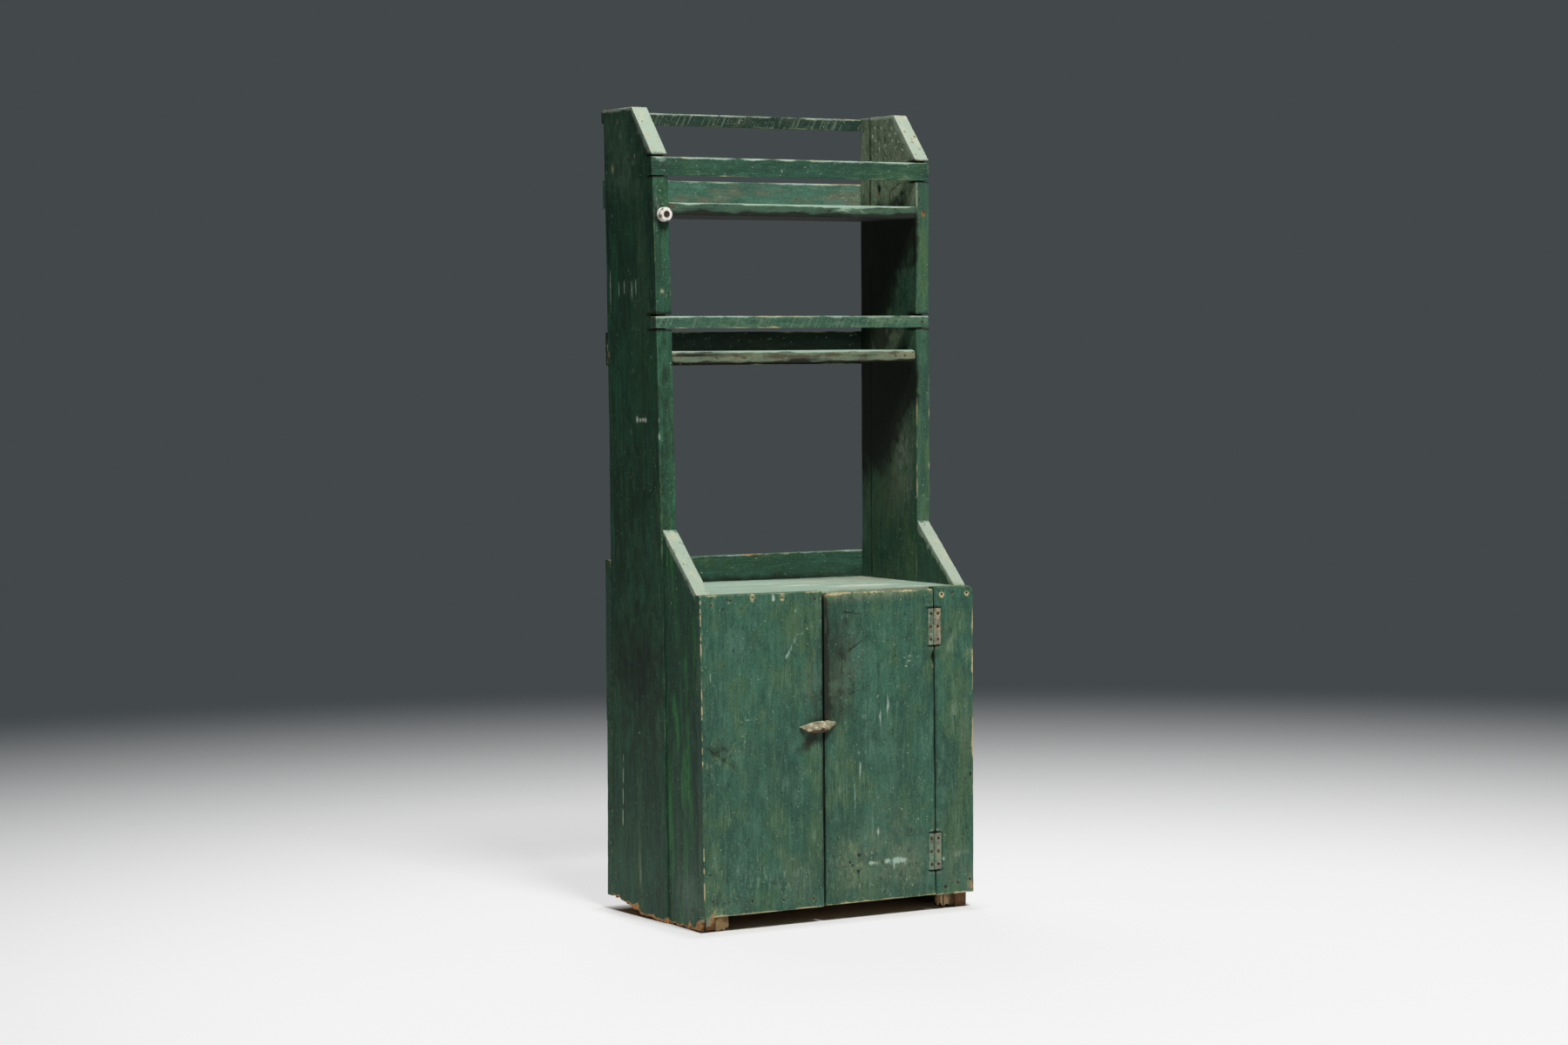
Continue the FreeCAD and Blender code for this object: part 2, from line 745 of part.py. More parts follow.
# Turn button: a boat-shaped stick with a ridge, thinner at both tips
def turn_button():
    label = "turn_button"
    body = document.addObject("PartDesign::Body", label)
    sketch = sketch_on(body, "XZ_Plane", f"{label}_outline")
    draw(
        sketch,
        [
            (-button_left_reach, button_above * BUTTON_TIP_RISE),
            (-button_left_reach * BUTTON_BELLY[1], -button_below * BUTTON_BELLY_DROP),
            (-button_left_reach * BUTTON_BELLY[0], -button_below),
            (button_right_reach * BUTTON_HEEL[0], -button_below),
            (button_right_reach * BUTTON_HEEL[1], button_above * BUTTON_HEEL_RISE),
            (button_right_reach, button_above * BUTTON_NOSE_RISES[0]),
            (button_right_reach * BUTTON_NOSE[0], button_above * BUTTON_NOSE_RISES[1]),
            (button_right_reach * BUTTON_NOSE[1], button_above),
            (-button_left_reach * BUTTON_SHOULDERS[0], button_above),
            (-button_left_reach * BUTTON_SHOULDERS[1], button_above * BUTTON_SHOULDER_RISES[0]),
            (-button_left_reach * BUTTON_SHOULDERS[2], button_above * BUTTON_SHOULDER_RISES[1]),
        ],
    )
    pad = body.newObject("PartDesign::Pad", f"{label}_pad")
    pad.Profile = sketch
    bind(pad, "Length", button_thickness)
    place(body, pivot_x, front - button_play, pivot_height)
    keep(body, label)
    face = -button_thickness
    upper = [
        (-button_tip, button_above + spare),
        (-button_tip, button_above),
        (face, button_ridge),
        (face - spare, button_ridge),
        (face - spare, button_above + spare),
    ]
    lower = [
        (-button_tip, -button_below - spare),
        (-button_tip, -button_below),
        (face, zero),
        (face - spare, zero),
        (face - spare, -button_below - spare),
    ]
    cut(body, "YZ_Plane", [upper, lower], f"{label}_bevels")
    ends = []
    for reach, sign in ((button_left_reach, -1), (button_right_reach, 1)):
        ends.append(
            [
                (reach * BUTTON_TAPER * sign, face),
                (reach * BUTTON_TAPER * sign, face - spare),
                ((reach + spare) * sign, face - spare),
                ((reach + spare) * sign, -button_tip),
                (reach * sign, -button_tip),
            ]
        )
    cut(body, "XY_Plane", ends, f"{label}_tips")
    seat = pivot_nail_radius + pivot_nail_play
    ring = sketch_on(body, "XZ_Plane", f"{label}_ring")
    ring.addGeometry(Part.Circle(Vector(), Vector(0, 0, 1), seat.value))
    ring.addConstraint(Sketcher.Constraint("Coincident", 0, 3, -1, 1))
    index = ring.addConstraint(Sketcher.Constraint("Radius", 0, seat.value))
    bind(ring, f"Constraints[{index}]", seat)
    pocket_through(body, ring, f"{label}_hole")


def pivot_nail():
    label = "turn_button_nail"
    head_back = front - button_play - button_thickness
    length = button_thickness + button_play + pivot_nail_depth
    head = cylinder(f"{label}_head", pivot_head_radius, pivot_head_thickness, ALONG_Y,
                    pivot_x, head_back - pivot_head_thickness, pivot_height)
    shank = cylinder(f"{label}_shank", pivot_nail_radius, length, ALONG_Y,
                     pivot_x, head_back, pivot_height)
    keep(fused(label, [head, shank]), label)


# Porcelain knob on the left side's front edge
def porcelain_knob():
    label = "porcelain_knob"
    knob_x = left_inner(knob_height) - left_board_thickness / 2 + knob_offset
    cap_start = rack_front - knob_base_length - knob_neck_length
    cap_length = knob_length - knob_base_length - knob_neck_length
    base = cylinder(f"{label}_base", knob_radius, knob_base_length, AGAINST_Y,
                    knob_x, rack_front, knob_height)
    neck = cylinder(f"{label}_neck", knob_neck_radius, knob_neck_length, AGAINST_Y,
                    knob_x, rack_front - knob_base_length, knob_height)
    cap = cylinder(f"{label}_cap", knob_radius, cap_length, AGAINST_Y,
                   knob_x, cap_start, knob_height)
    document.recompute()
    rounded = document.addObject("Part::Fillet", f"{label}_rounded_cap")
    rounded.Base = cap
    far_edges = [
        number + 1
        for number, edge in enumerate(cap.Shape.Edges)
        if edge.BoundBox.YMax < cap.Shape.BoundBox.YMin + cap_length.value / 2
    ]
    rounded.Edges = [(number, knob_round.value, knob_round.value) for number in far_edges]
    bore = cylinder(f"{label}_bore", knob_bore_radius, knob_length, AGAINST_Y,
                    knob_x, rack_front, knob_height)
    recess = cylinder(f"{label}_recess", knob_recess_radius, knob_recess_depth, ALONG_Y,
                      knob_x, rack_front - knob_length, knob_height)
    solid = fused(f"{label}_solid", [base, neck, rounded])
    keep(cut_away(label, solid, [bore, recess]), label)
    screw = "knob_screw"
    seat = rack_front - knob_length + knob_recess_depth
    head = cylinder(f"{screw}_head", knob_recess_radius - knob_screw_play,
                    knob_recess_depth / 2, AGAINST_Y, knob_x, seat, knob_height)
    shank = cylinder(f"{screw}_shank", knob_bore_radius - knob_screw_play,
                     knob_length - knob_recess_depth + knob_screw_grip, ALONG_Y,
                     knob_x, seat, knob_height)
    keep(fused(screw, [head, shank]), screw)


# Nails
def nail(name, turn, x, y, z):
    """One nail driven from (x, y, z), its head flush with the wood."""
    steps = {
        "x": nail_head_thickness if turn is ALONG_X else -nail_head_thickness,
        "y": nail_head_thickness if turn is ALONG_Y else -nail_head_thickness,
    }
    along_x = turn in (ALONG_X, AGAINST_X)
    under_x = x + steps["x"] if along_x else x
    under_y = y if along_x else y + steps["y"]
    head = cylinder(f"{name}_head", nail_head_radius, nail_head_thickness, turn, x, y, z)
    shank = cone(f"{name}_shank", nail_radius, nail_tip_radius,
                 nail_length - nail_head_thickness, turn, under_x, under_y, z)
    return fused(name, [head, shank])


def nail_group(label, spots):
    return group(
        label, [nail(f"{label}_{number}", *spot) for number, spot in enumerate(spots)]
    )


def spread(first, last, count):
    """Evenly spaced places from first to last."""
    step = (last - first) / (count - 1)
    return [first + step * number for number in range(count)]


def side_nails():
    """Nails through the sides into the ends of shelves, counter and bottom."""
    rack_rows = [rack_front + rack_depth * share for share in SIDE_NAIL_ROWS]
    front_row = case_front + (rack_front - case_front) * FRONT_NAIL_ROW
    shelf_lines = (
        top_shelf_height - top_shelf_thickness / 2,
        middle_shelf_height - middle_shelf_thickness / 2,
        counter_height - counter_thickness / 2,
        bottom_top - bottom_board_thickness / 2,
    )
    left = []
    other = []
    for height in shelf_lines:
        for row in rack_rows:
            left.append((ALONG_X, left_outer(height), row, height))
            other.append((AGAINST_X, right, row, height))
    for height in shelf_lines[2:]:
        left.append((ALONG_X, left_outer(height) + front_board_recess, front_row, height))
        other.append((AGAINST_X, right - front_board_recess, front_row, height))
    nail_group("left_side_nails", left)
    nail_group("right_side_nails", other)


def front_nails():
    """Nails through the fixed front boards into the counter's and bottom's edges."""
    lines = (
        counter_height - counter_thickness / 2,
        bottom_top - bottom_board_thickness / 2,
    )
    panel = []
    stile = []
    for height in lines:
        panel.append((ALONG_Y, left_outer(height) + nail_edge_inset, front, height))
        first = left_inner(height) + left_batten_width + nail_edge_inset
        for place_x in spread(first, panel_right - nail_edge_inset, PANEL_NAILS):
            panel.append((ALONG_Y, place_x, front, height))
        first = stile_left + leaf_width + mortise_margin
        for place_x in spread(first, right - nail_edge_inset, STILE_NAILS):
            stile.append((ALONG_Y, place_x, front, height))
    nail_group("front_panel_nails", panel)
    nail_group("stile_nails", stile)


def rail_nails():
    """Nails through the ends of the two front rails into the side boards."""
    spots = []
    rails = (
        top_rail_height - top_rail_width / 2,
        middle_rail_height - middle_rail_width / 2,
    )
    for height in rails:
        place_y = rack_front + rail_recess
        left_x = left_outer(height) + left_board_thickness / 2
        spots.append((ALONG_Y, left_x, place_y, height))
        spots.append((ALONG_Y, right - right_board_thickness / 2, place_y, height))
    nail_group("rail_nails", spots)


def edge_nails():
    """Old nails left in the left side's front edge, above and below the knob."""
    spots = []
    for height in (
        knob_height + edge_nail_upper,
        knob_height + edge_nail_middle,
        knob_height - edge_nail_lower,
    ):
        place_x = left_inner(height) - left_board_thickness / 2
        spots.append((ALONG_Y, place_x, rack_front, height))
    nail_group("left_edge_nails", spots)


def back_nails():
    """Nails through the ends of the back boards into the side boards' rear edges."""
    rack = [(top, width, rack_back_thickness) for _, top, width in rack_backs()]
    case = [(top, width, thickness) for _, top, width, thickness in case_backs()]
    for label, boards in (("rack_back_nails", rack), ("case_back_nails", case)):
        spots = []
        for top, width, thickness in boards:
            for share in BACK_NAIL_ROWS:
                height = top - width * share
                place_y = side_back + thickness
                spots.append((AGAINST_Y, left_outer(height) + nail_edge_inset, place_y, height))
                spots.append((AGAINST_Y, right - nail_edge_inset, place_y, height))
        nail_group(label, spots)


def batten_nails():
    """Nails through the cleats and corner battens into the side boards."""
    spots = []
    for _, top in cleat_tops():
        height = top - cleat_height / 2
        for share in CLEAT_NAIL_ROWS:
            place_y = batten_back + (side_back - batten_back) * share
            left_x = left_inner(height) + cleat_width
            spots.append((AGAINST_X, left_x, place_y, height))
            spots.append((ALONG_X, right_inner - cleat_width, place_y, height))
    for share in BATTEN_NAIL_ROWS:
        height = counter_under * share
        place_y = case_front + batten_depth / 2
        spots.append((AGAINST_X, left_inner(height) + left_batten_width, place_y, height))
        spots.append((ALONG_X, right_inner - right_batten_width, place_y, height))
    nail_group("batten_nails", spots)


side_boards()
shelves()
rails_and_backs()
battens_and_cleats()
front_boards()
hinges()
turn_button()
pivot_nail()
porcelain_knob()
side_nails()
front_nails()
rail_nails()
edge_nails()
back_nails()
batten_nails()
document.recompute()

for thing in document.Objects:
    if "Invalid" in thing.State or "Error" in thing.State:
        raise ValueError(f"{thing.Label} could not be made: {thing.State}")
for thing in sub_parts:
    if thing.Shape.isNull() or not thing.Shape.isValid():
        raise ValueError(f"{thing.Label} has no valid shape")

os.makedirs("parts", exist_ok=True)
for thing in sub_parts:
    thing.Shape.exportStep(f"parts/{thing.Label}.step")
print(f"{len(sub_parts)} sub-parts")
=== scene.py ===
"""The storage cabinet's looks: worn milk paint on pine, aged boards, rusted iron, porcelain.

Lengths inside the functions are millimetres in the cabinet's own frame: +Z up, the front
faces -Y, +X to the right, the origin on the floor. Meshes are written in metres.
"""

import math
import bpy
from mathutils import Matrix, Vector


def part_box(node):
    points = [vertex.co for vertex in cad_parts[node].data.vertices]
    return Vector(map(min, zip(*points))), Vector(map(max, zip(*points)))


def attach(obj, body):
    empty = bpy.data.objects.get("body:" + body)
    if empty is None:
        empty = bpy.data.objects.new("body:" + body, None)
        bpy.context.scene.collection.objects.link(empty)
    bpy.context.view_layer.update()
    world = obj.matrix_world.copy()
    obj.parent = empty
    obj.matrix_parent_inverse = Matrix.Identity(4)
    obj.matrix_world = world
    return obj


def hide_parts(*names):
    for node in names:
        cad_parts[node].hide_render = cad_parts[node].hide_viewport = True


bl_info = {
    "name": "Storage Cabinet",
    "version": (1, 0, 0),
    "blender": (4, 5, 0),
    "location": "View3D > Sidebar > Cabinet",
    "description": "Dresses the storage cabinet's boards, irons and knob",
    "category": "Object",
}

import bpy
import numpy as np
from mathutils import Matrix, Vector

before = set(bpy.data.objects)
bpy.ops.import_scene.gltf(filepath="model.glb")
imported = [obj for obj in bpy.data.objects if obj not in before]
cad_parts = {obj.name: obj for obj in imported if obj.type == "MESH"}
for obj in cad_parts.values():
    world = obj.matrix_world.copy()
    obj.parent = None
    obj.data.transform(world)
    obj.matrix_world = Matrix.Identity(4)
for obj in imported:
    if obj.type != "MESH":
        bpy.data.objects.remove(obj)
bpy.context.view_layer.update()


def linear(hex_colour):
    """An sRGB hex colour as linear RGBA. A colour that is linear already stays as it is."""
    if not isinstance(hex_colour, str):
        return hex_colour
    shades = [int(hex_colour[i:i + 2], 16) / 255 for i in (1, 3, 5)]
    return [s / 12.92 if s <= 0.04045 else ((s + 0.055) / 1.055) ** 2.4 for s in shades] + [1.0]


def length_setting(label, meaning, default):
    return bpy.props.FloatProperty(
        name=label, description=meaning, default=default, min=0, subtype="DISTANCE", unit="LENGTH"
    )


def colour_setting(label, meaning, hex_colour):
    return bpy.props.FloatVectorProperty(
        name=label, description=meaning, default=linear(hex_colour), size=4, min=0, max=1,
        subtype="COLOR",
    )


class CabinetSizes(bpy.types.PropertyGroup):
    edge_wear: length_setting("Edge wear", "Radius of the boards' worn edges", 0.0017)
    shelf_wear: length_setting("Shelf wear", "Extra radius on the shelves' front edges", 0.0045)
    waviness: length_setting("Waviness", "How far a board's face wanders", 0.0006)
    fray: length_setting("Fray", "Depth of the broken fibres at the feet", 0.006)
    gap_slant: length_setting("Gap slant", "Lean of the gaps beside the door", 0.002)


class CabinetColours(bpy.types.PropertyGroup):
    front_paint: colour_setting("Front paint", "Green of the front boards", "#325f4b")
    front_paint_deep: colour_setting("Deep front paint", "Where the paint is thick", "#24493b")
    side_paint: colour_setting("Side paint", "Darker green of the left side", "#2a533a")
    side_paint_deep: colour_setting("Deep side paint", "Where the side is darkest", "#193829")
    mint_paint: colour_setting("Mint paint", "Pale paint of the counter and shelves", "#90a996")
    raw_pine: colour_setting("Raw pine", "Wood under worn paint", "#a67f50")
    worn_pine: colour_setting("Worn pine", "Handled wood at the arrises", "#bfae84")
    aged_pine: colour_setting("Aged pine", "Boards that were never painted", "#8a6c48")
    rust: colour_setting("Rust", "Nails, pins and screws", "#4a2f20")
    porcelain: colour_setting("Porcelain", "The knob's glaze", "#ecebe4")


class CabinetStage(bpy.types.PropertyGroup):
    floor: colour_setting("Floor", "Colour of the floor", "#e4e4e4")
    pool: colour_setting("Pool", "The floor's look beside the cabinet", "#f3f3f3")
    backdrop: colour_setting("Backdrop", "Colour behind the cabinet", "#43484b")
    pool_reach: length_setting("Pool reach", "How far out the floor starts to darken", 1.28)
    pool_end: length_setting("Pool end", "How far out the floor is as dark as the backdrop", 5.8)
    key_power: bpy.props.FloatProperty(
        name="Key light", description="Power of the light above the front", default=1000,
        min=0, unit="POWER",
    )
    rear_power: bpy.props.FloatProperty(
        name="Rear light", description="Power of the light behind", default=170, min=0,
        unit="POWER",
    )
    ambient: bpy.props.FloatProperty(
        name="Ambient", description="Strength of the light from all round", default=0.02, min=0,
    )


MM = 0.001


def sizes():
    return bpy.context.scene.cabinet_sizes


def colours():
    return bpy.context.scene.cabinet_colours


def mm(length):
    return length / MM


def corners(node):
    """Lowest and highest corner of a CAD node in millimetres."""
    low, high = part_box(node)
    return np.array(low) / MM, np.array(high) / MM


# Seeded value noise
def lattice_value(cell, seed):
    """A number from -1 to 1 for each whole-numbered cell."""
    n = cell[:, 0] * 374761393 + cell[:, 1] * 668265263 + cell[:, 2] * 2147483647 + seed * 974634777
    n = (n & 0xFFFFFFFF).astype(np.uint64)
    n = ((n ^ (n >> np.uint64(13))) * np.uint64(1274126177)) & np.uint64(0xFFFFFFFF)
    n = n ^ (n >> np.uint64(16))
    return n.astype(float) / 0x7FFFFFFF - 1


def noise(points, scale, seed, octaves=2):
    """Smooth noise, about -1 to 1, whose bumps are scale millimetres apart."""
    total = np.zeros(len(points))
    spread = np.asarray(scale, float) * np.ones(3)
    for octave in range(octaves):
        q = points / spread * 2 ** octave + 31.7 * octave
        cell = np.floor(q).astype(np.int64)
        t = q - cell
        t = t * t * (3 - 2 * t)
        value = np.zeros(len(points))
        for corner in np.ndindex(2, 2, 2):
            weight = np.prod(np.where(corner, t, 1 - t), axis=1)
            value += weight * lattice_value(cell + np.array(corner), seed + octave)
        total += value / 2 ** octave
    return total


# Meshes
def added(name, data):
    """A new object in the scene."""
    thing = bpy.data.objects.new(name, data)
    bpy.context.scene.collection.objects.link(thing)
    return thing


def new_piece(name, points, faces, material, body, nodes=(), attributes=None, sharp=38):
    """Makes a piece from millimetre points and sets it on its body in place of CAD nodes."""
    points = np.asarray(points, float)
    mesh = bpy.data.meshes.new(name)
    mesh.from_pydata((points * MM).tolist(), [], [list(map(int, face)) for face in faces])
    for key, values in (attributes or {}).items():
        values = np.asarray(values, np.float32)
        kind = "FLOAT" if values.ndim == 1 else "FLOAT_VECTOR"
        data = mesh.attributes.new(key, kind, "POINT").data
        data.foreach_set("value" if values.ndim == 1 else "vector", values.ravel())
    mesh.validate()
    mesh.shade_smooth()
    mesh.set_sharp_from_angle(angle=math.radians(sharp))
    mesh.materials.append(material)
    piece = added(name, mesh)
    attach(piece, body)
    if nodes:
        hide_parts(*nodes)
    return piece


EDGE_ROWS = np.array([0, 0.6, 1.4, 2.6, 4.2, 6.5, 10])
LEAST_GAP = 0.35
STEP_GAP = 0.04


def ticks(length, pitch, fine=(), steps=()):
    """Places of the mesh's rows along one side of a board, closer at its edges and at the fine
    places, and in close pairs at the steps."""
    edge = EDGE_ROWS[EDGE_ROWS < length / 2 - 0.3]
    even = np.linspace(0, length, max(2, round(length / pitch)) + 1)
    even = even[(even > edge[-1] + pitch / 3) & (even < length - edge[-1] - pitch / 3)]
    extra = np.array([f for f in fine if 0 < f < length])
    rows = np.unique(np.round(np.concatenate([edge, length - edge, even, extra]), 3))
    kept = [rows[0]]
    for row in rows[1:]:
        if row - kept[-1] > LEAST_GAP:
            kept.append(row)
    kept[-1] = length
    rows = np.array(kept)
    for step in steps:
        if 0 < step < length:
            rows = rows[np.abs(rows - step) > LEAST_GAP]
            rows = np.append(rows, [step - STEP_GAP / 2, step + STEP_GAP / 2])
    return np.sort(rows)


def box_shell(rows):
    """Points on the surface of a box whose three sides have these rows, and its quads."""
    shape = [len(r) for r in rows]
    on_shell = np.zeros(shape, bool)
    for axis in range(3):
        on_shell.swapaxes(0, axis)[[0, -1]] = True
    index = np.full(shape, -1)
    index[on_shell] = np.arange(on_shell.sum())
    points = np.stack(np.meshgrid(*rows, indexing="ij"), -1)[on_shell]
    quads = []
    for axis in range(3):
        for end in (0, -1):
            grid = index.take(end, axis)
            quad = np.stack([grid[:-1, :-1], grid[1:, :-1], grid[1:, 1:], grid[:-1, 1:]], -1)
            quad = quad.reshape(-1, 4)
            outward = (end == -1) != (axis == 1)
            quads.append(quad if outward else quad[:, ::-1])
    return points, np.concatenate(quads)


def outward_faces(points, quads):
    """The quads, turned over if they enclose the solid inside out."""
    a, b, c, d = (points[quads[:, i]] for i in range(4))
    volume = np.einsum("ij,ij->i", a, np.cross(b, c)) + np.einsum("ij,ij->i", a, np.cross(c, d))
    return quads if volume.sum() > 0 else quads[:, ::-1]


def rounded(points, size, radius):
    """Moves the points near a box's edges onto an edge rounded to this radius."""
    radius = np.minimum(radius, 0.45 * min(size))[:, None]
    inner = np.clip(points, radius, size - radius)
    away = points - inner
    reach = np.linalg.norm(away, axis=1, keepdims=True)
    return np.where(reach > 1e-9, inner + away * radius / np.maximum(reach, 1e-9), points)


LOOKS = ("wear", "pale", "grime", "bare", "olive", "dust")


def marked(points, marks, seed):
    """How strongly each kind of mark shows at each point, from blots: (kind, centre, reach,
    amount)."""
    looks = {kind: np.zeros(len(points)) for kind in LOOKS + ("dent",)}
    ragged = 1 + 0.35 * noise(points, 14, seed + 77)
    for kind, centre, reach, amount in marks:
        away = (points - np.array(centre)) / np.array(reach)
        blot = np.exp(-(away ** 2).sum(1) * (1 if kind == "dent" else ragged))
        looks[kind] += amount * blot
    return looks


def on_plane(axis, at, spot):
    """The point or reach whose value along this axis is at, and the spot's along the others."""
    point = list(spot)
    point.insert(axis, at)
    return point


def blots(axis, at, deep, table):
    """Blots on the plane that crosses this axis at a place, with the reach deep across it. The
    table has rows of (place, place, reach, reach, amount) on the other two axes by kind."""
    return [
        (kind, on_plane(axis, at, row[:2]), on_plane(axis, deep, row[2:4]), row[4])
        for kind, rows in table.items() for row in rows
    ]


def strokes(axis, at, table):
    """Blots along lines on such a plane: scratches, drips and brush strokes, from rows of
    (kind, start, end, width, amount)."""
    marks = []
    for kind, start, end, width, amount in table:
        start = np.array(on_plane(axis, at, start), float)
        run = np.array(on_plane(axis, at, end), float) - start
        count = int(np.linalg.norm(run) / width) + 2
        marks += [(kind, start + run * t, (width, 6, width), amount)
                  for t in np.linspace(0, 1, count)]
    return marks


def board(node, size, pitches, place, material, seed, body="carcass", grain=2, marks=(),
          edge=1.0, soft=None, fray=(0, 0), wear=1.0, recess=None, olive=0.0, crest=0.0,
          dress=None, end_material=None):
    """A worn board. size is its length, width and thickness; place maps those to the cabinet,
    and each has its mesh's pitch in pitches, or (pitch, fine places, steps) as ticks has them.

    soft(flat) gives more edge radius, recess(flat) a depth below the outer face, fray the
    depth of broken fibres at both ends, and grain the cabinet's axis along which it runs.
    crest is how pale the first long arris is, worn paint with a painted highlight, dress(flat,
    looks) adds marks of its own, and end_material covers the first end.
    """
    size = np.array(size, float)
    flat, quads = box_shell([
        ticks(side, *(pitch if isinstance(pitch, tuple) else (pitch,)))
        for side, pitch in zip(size, pitches)
    ])
    depth_side = np.where(flat[:, 2] < 1e-6, 1.0, np.where(flat[:, 2] > size[2] - 1e-6, -1.0, 0.0))
    nearest = np.sort(np.minimum(flat, size - flat), axis=1)[:, 1]
    wander = noise(flat, (45, 30, 30), seed, 3)
    radius = mm(sizes().edge_wear) * edge * np.clip(0.75 + 0.75 * wander, 0.25, 2.6)
    if soft is not None:
        radius = radius + soft(flat) * np.clip(0.8 + 0.6 * wander, 0.15, 1.8)
    points = rounded(flat, size, radius)
    for end, depth in ((0, fray[0]), (1, fray[1])):
        if depth:
            from_end = flat[:, 0] if end == 0 else size[0] - flat[:, 0]
            fibres = 0.5 + 0.5 * noise(flat * [0, 1, 1], (1, 7, 7), seed + 5, 3)
            move = depth * np.clip(fibres, 0, 1.4) * np.clip(1 - from_end / (3 * depth), 0, 1)
            points[:, 0] += move if end == 0 else -move
    bow = mm(sizes().waviness) * noise(flat, (330, 90, 400), seed + 9)
    inside = np.clip(np.minimum(flat[:, 2], size[2] - flat[:, 2]) / 2, 0, 1)
    points[:, 2] += np.abs(bow) * depth_side * (1 - inside)
    start = place(points)
    looks = marked(start, marks, seed)
    points[:, 2] += looks.pop("dent") * depth_side
    if recess is not None:
        points[:, 2] += np.where(depth_side > 0, recess(flat), 0)
    world = place(points)
    reach = np.exp(-((nearest / 3.2) ** 1.3))
    rubbed = np.clip(0.34 + 0.62 * noise(flat, (55, 30, 30), seed + 3, 3), 0, 1.1)
    looks["wear"] += wear * reach * rubbed
    looks["olive"] += olive
    arris = np.exp(-(flat[:, 1] ** 2 + flat[:, 2] ** 2) / 16)
    chalky = np.clip(1.2 + 0.8 * noise(flat, (40, 20, 20), seed + 13, 3), 0, 1.8)
    # The first long arris paler: worn paint with a painted highlight.
    looks["pale"] += crest * arris * chalky
    if dress is not None:
        dress(flat, looks)
    # Each board's grain starts at a place of its own in the patterns.
    looks["grain_mm"] = world[:, [grain, (grain + 1) % 3, (grain + 2) % 3]] + 977.0 * seed
    quads = outward_faces(world, quads)
    piece = new_piece(f"worn_{node}", world, quads, material, body, [node], looks)
    if end_material is not None:
        piece.data.materials.append(end_material)
        ends = (flat[quads][:, :, 0].max(1) < 2).astype(np.int32)
        piece.data.polygons.foreach_set("material_index", ends)
    return piece


# Materials
def add_node(tree, kind, settings=None, sockets=None):
    """Adds one node with its settings, and its sockets set to values or linked to outputs."""
    node = tree.nodes.new(kind)
    for key, value in (settings or {}).items():
        setattr(node, key, value)
    for key, value in (sockets or {}).items():
        if isinstance(value, bpy.types.NodeSocket):
            tree.links.new(value, node.inputs[key])
        else:
            node.inputs[key].default_value = value
    return node


def calculated(tree, operation, *values):
    return add_node(
        tree, "ShaderNodeMath", {"operation": operation}, dict(enumerate(values))
    ).outputs[0]


def measured(tree, operation, *values):
    """The node of a calculation with vectors."""
    return add_node(
        tree, "ShaderNodeVectorMath", {"operation": operation}, dict(enumerate(values))
    )


def rising(tree, value, low, high, top=1.0):
    """0 below low, top above high and a smooth rise between them."""
    return add_node(
        tree, "ShaderNodeMapRange", {"interpolation_type": "SMOOTHSTEP"},
        {0: value, 1: low, 2: high, 4: top},
    ).outputs[0]


def blended(tree, factor, first, second):
    """The first colour, turning to the second as the factor goes from 0 to 1."""
    return add_node(
        tree, "ShaderNodeMix", {"data_type": "RGBA"}, {"Factor": factor, 6: first, 7: second}
    ).outputs[2]


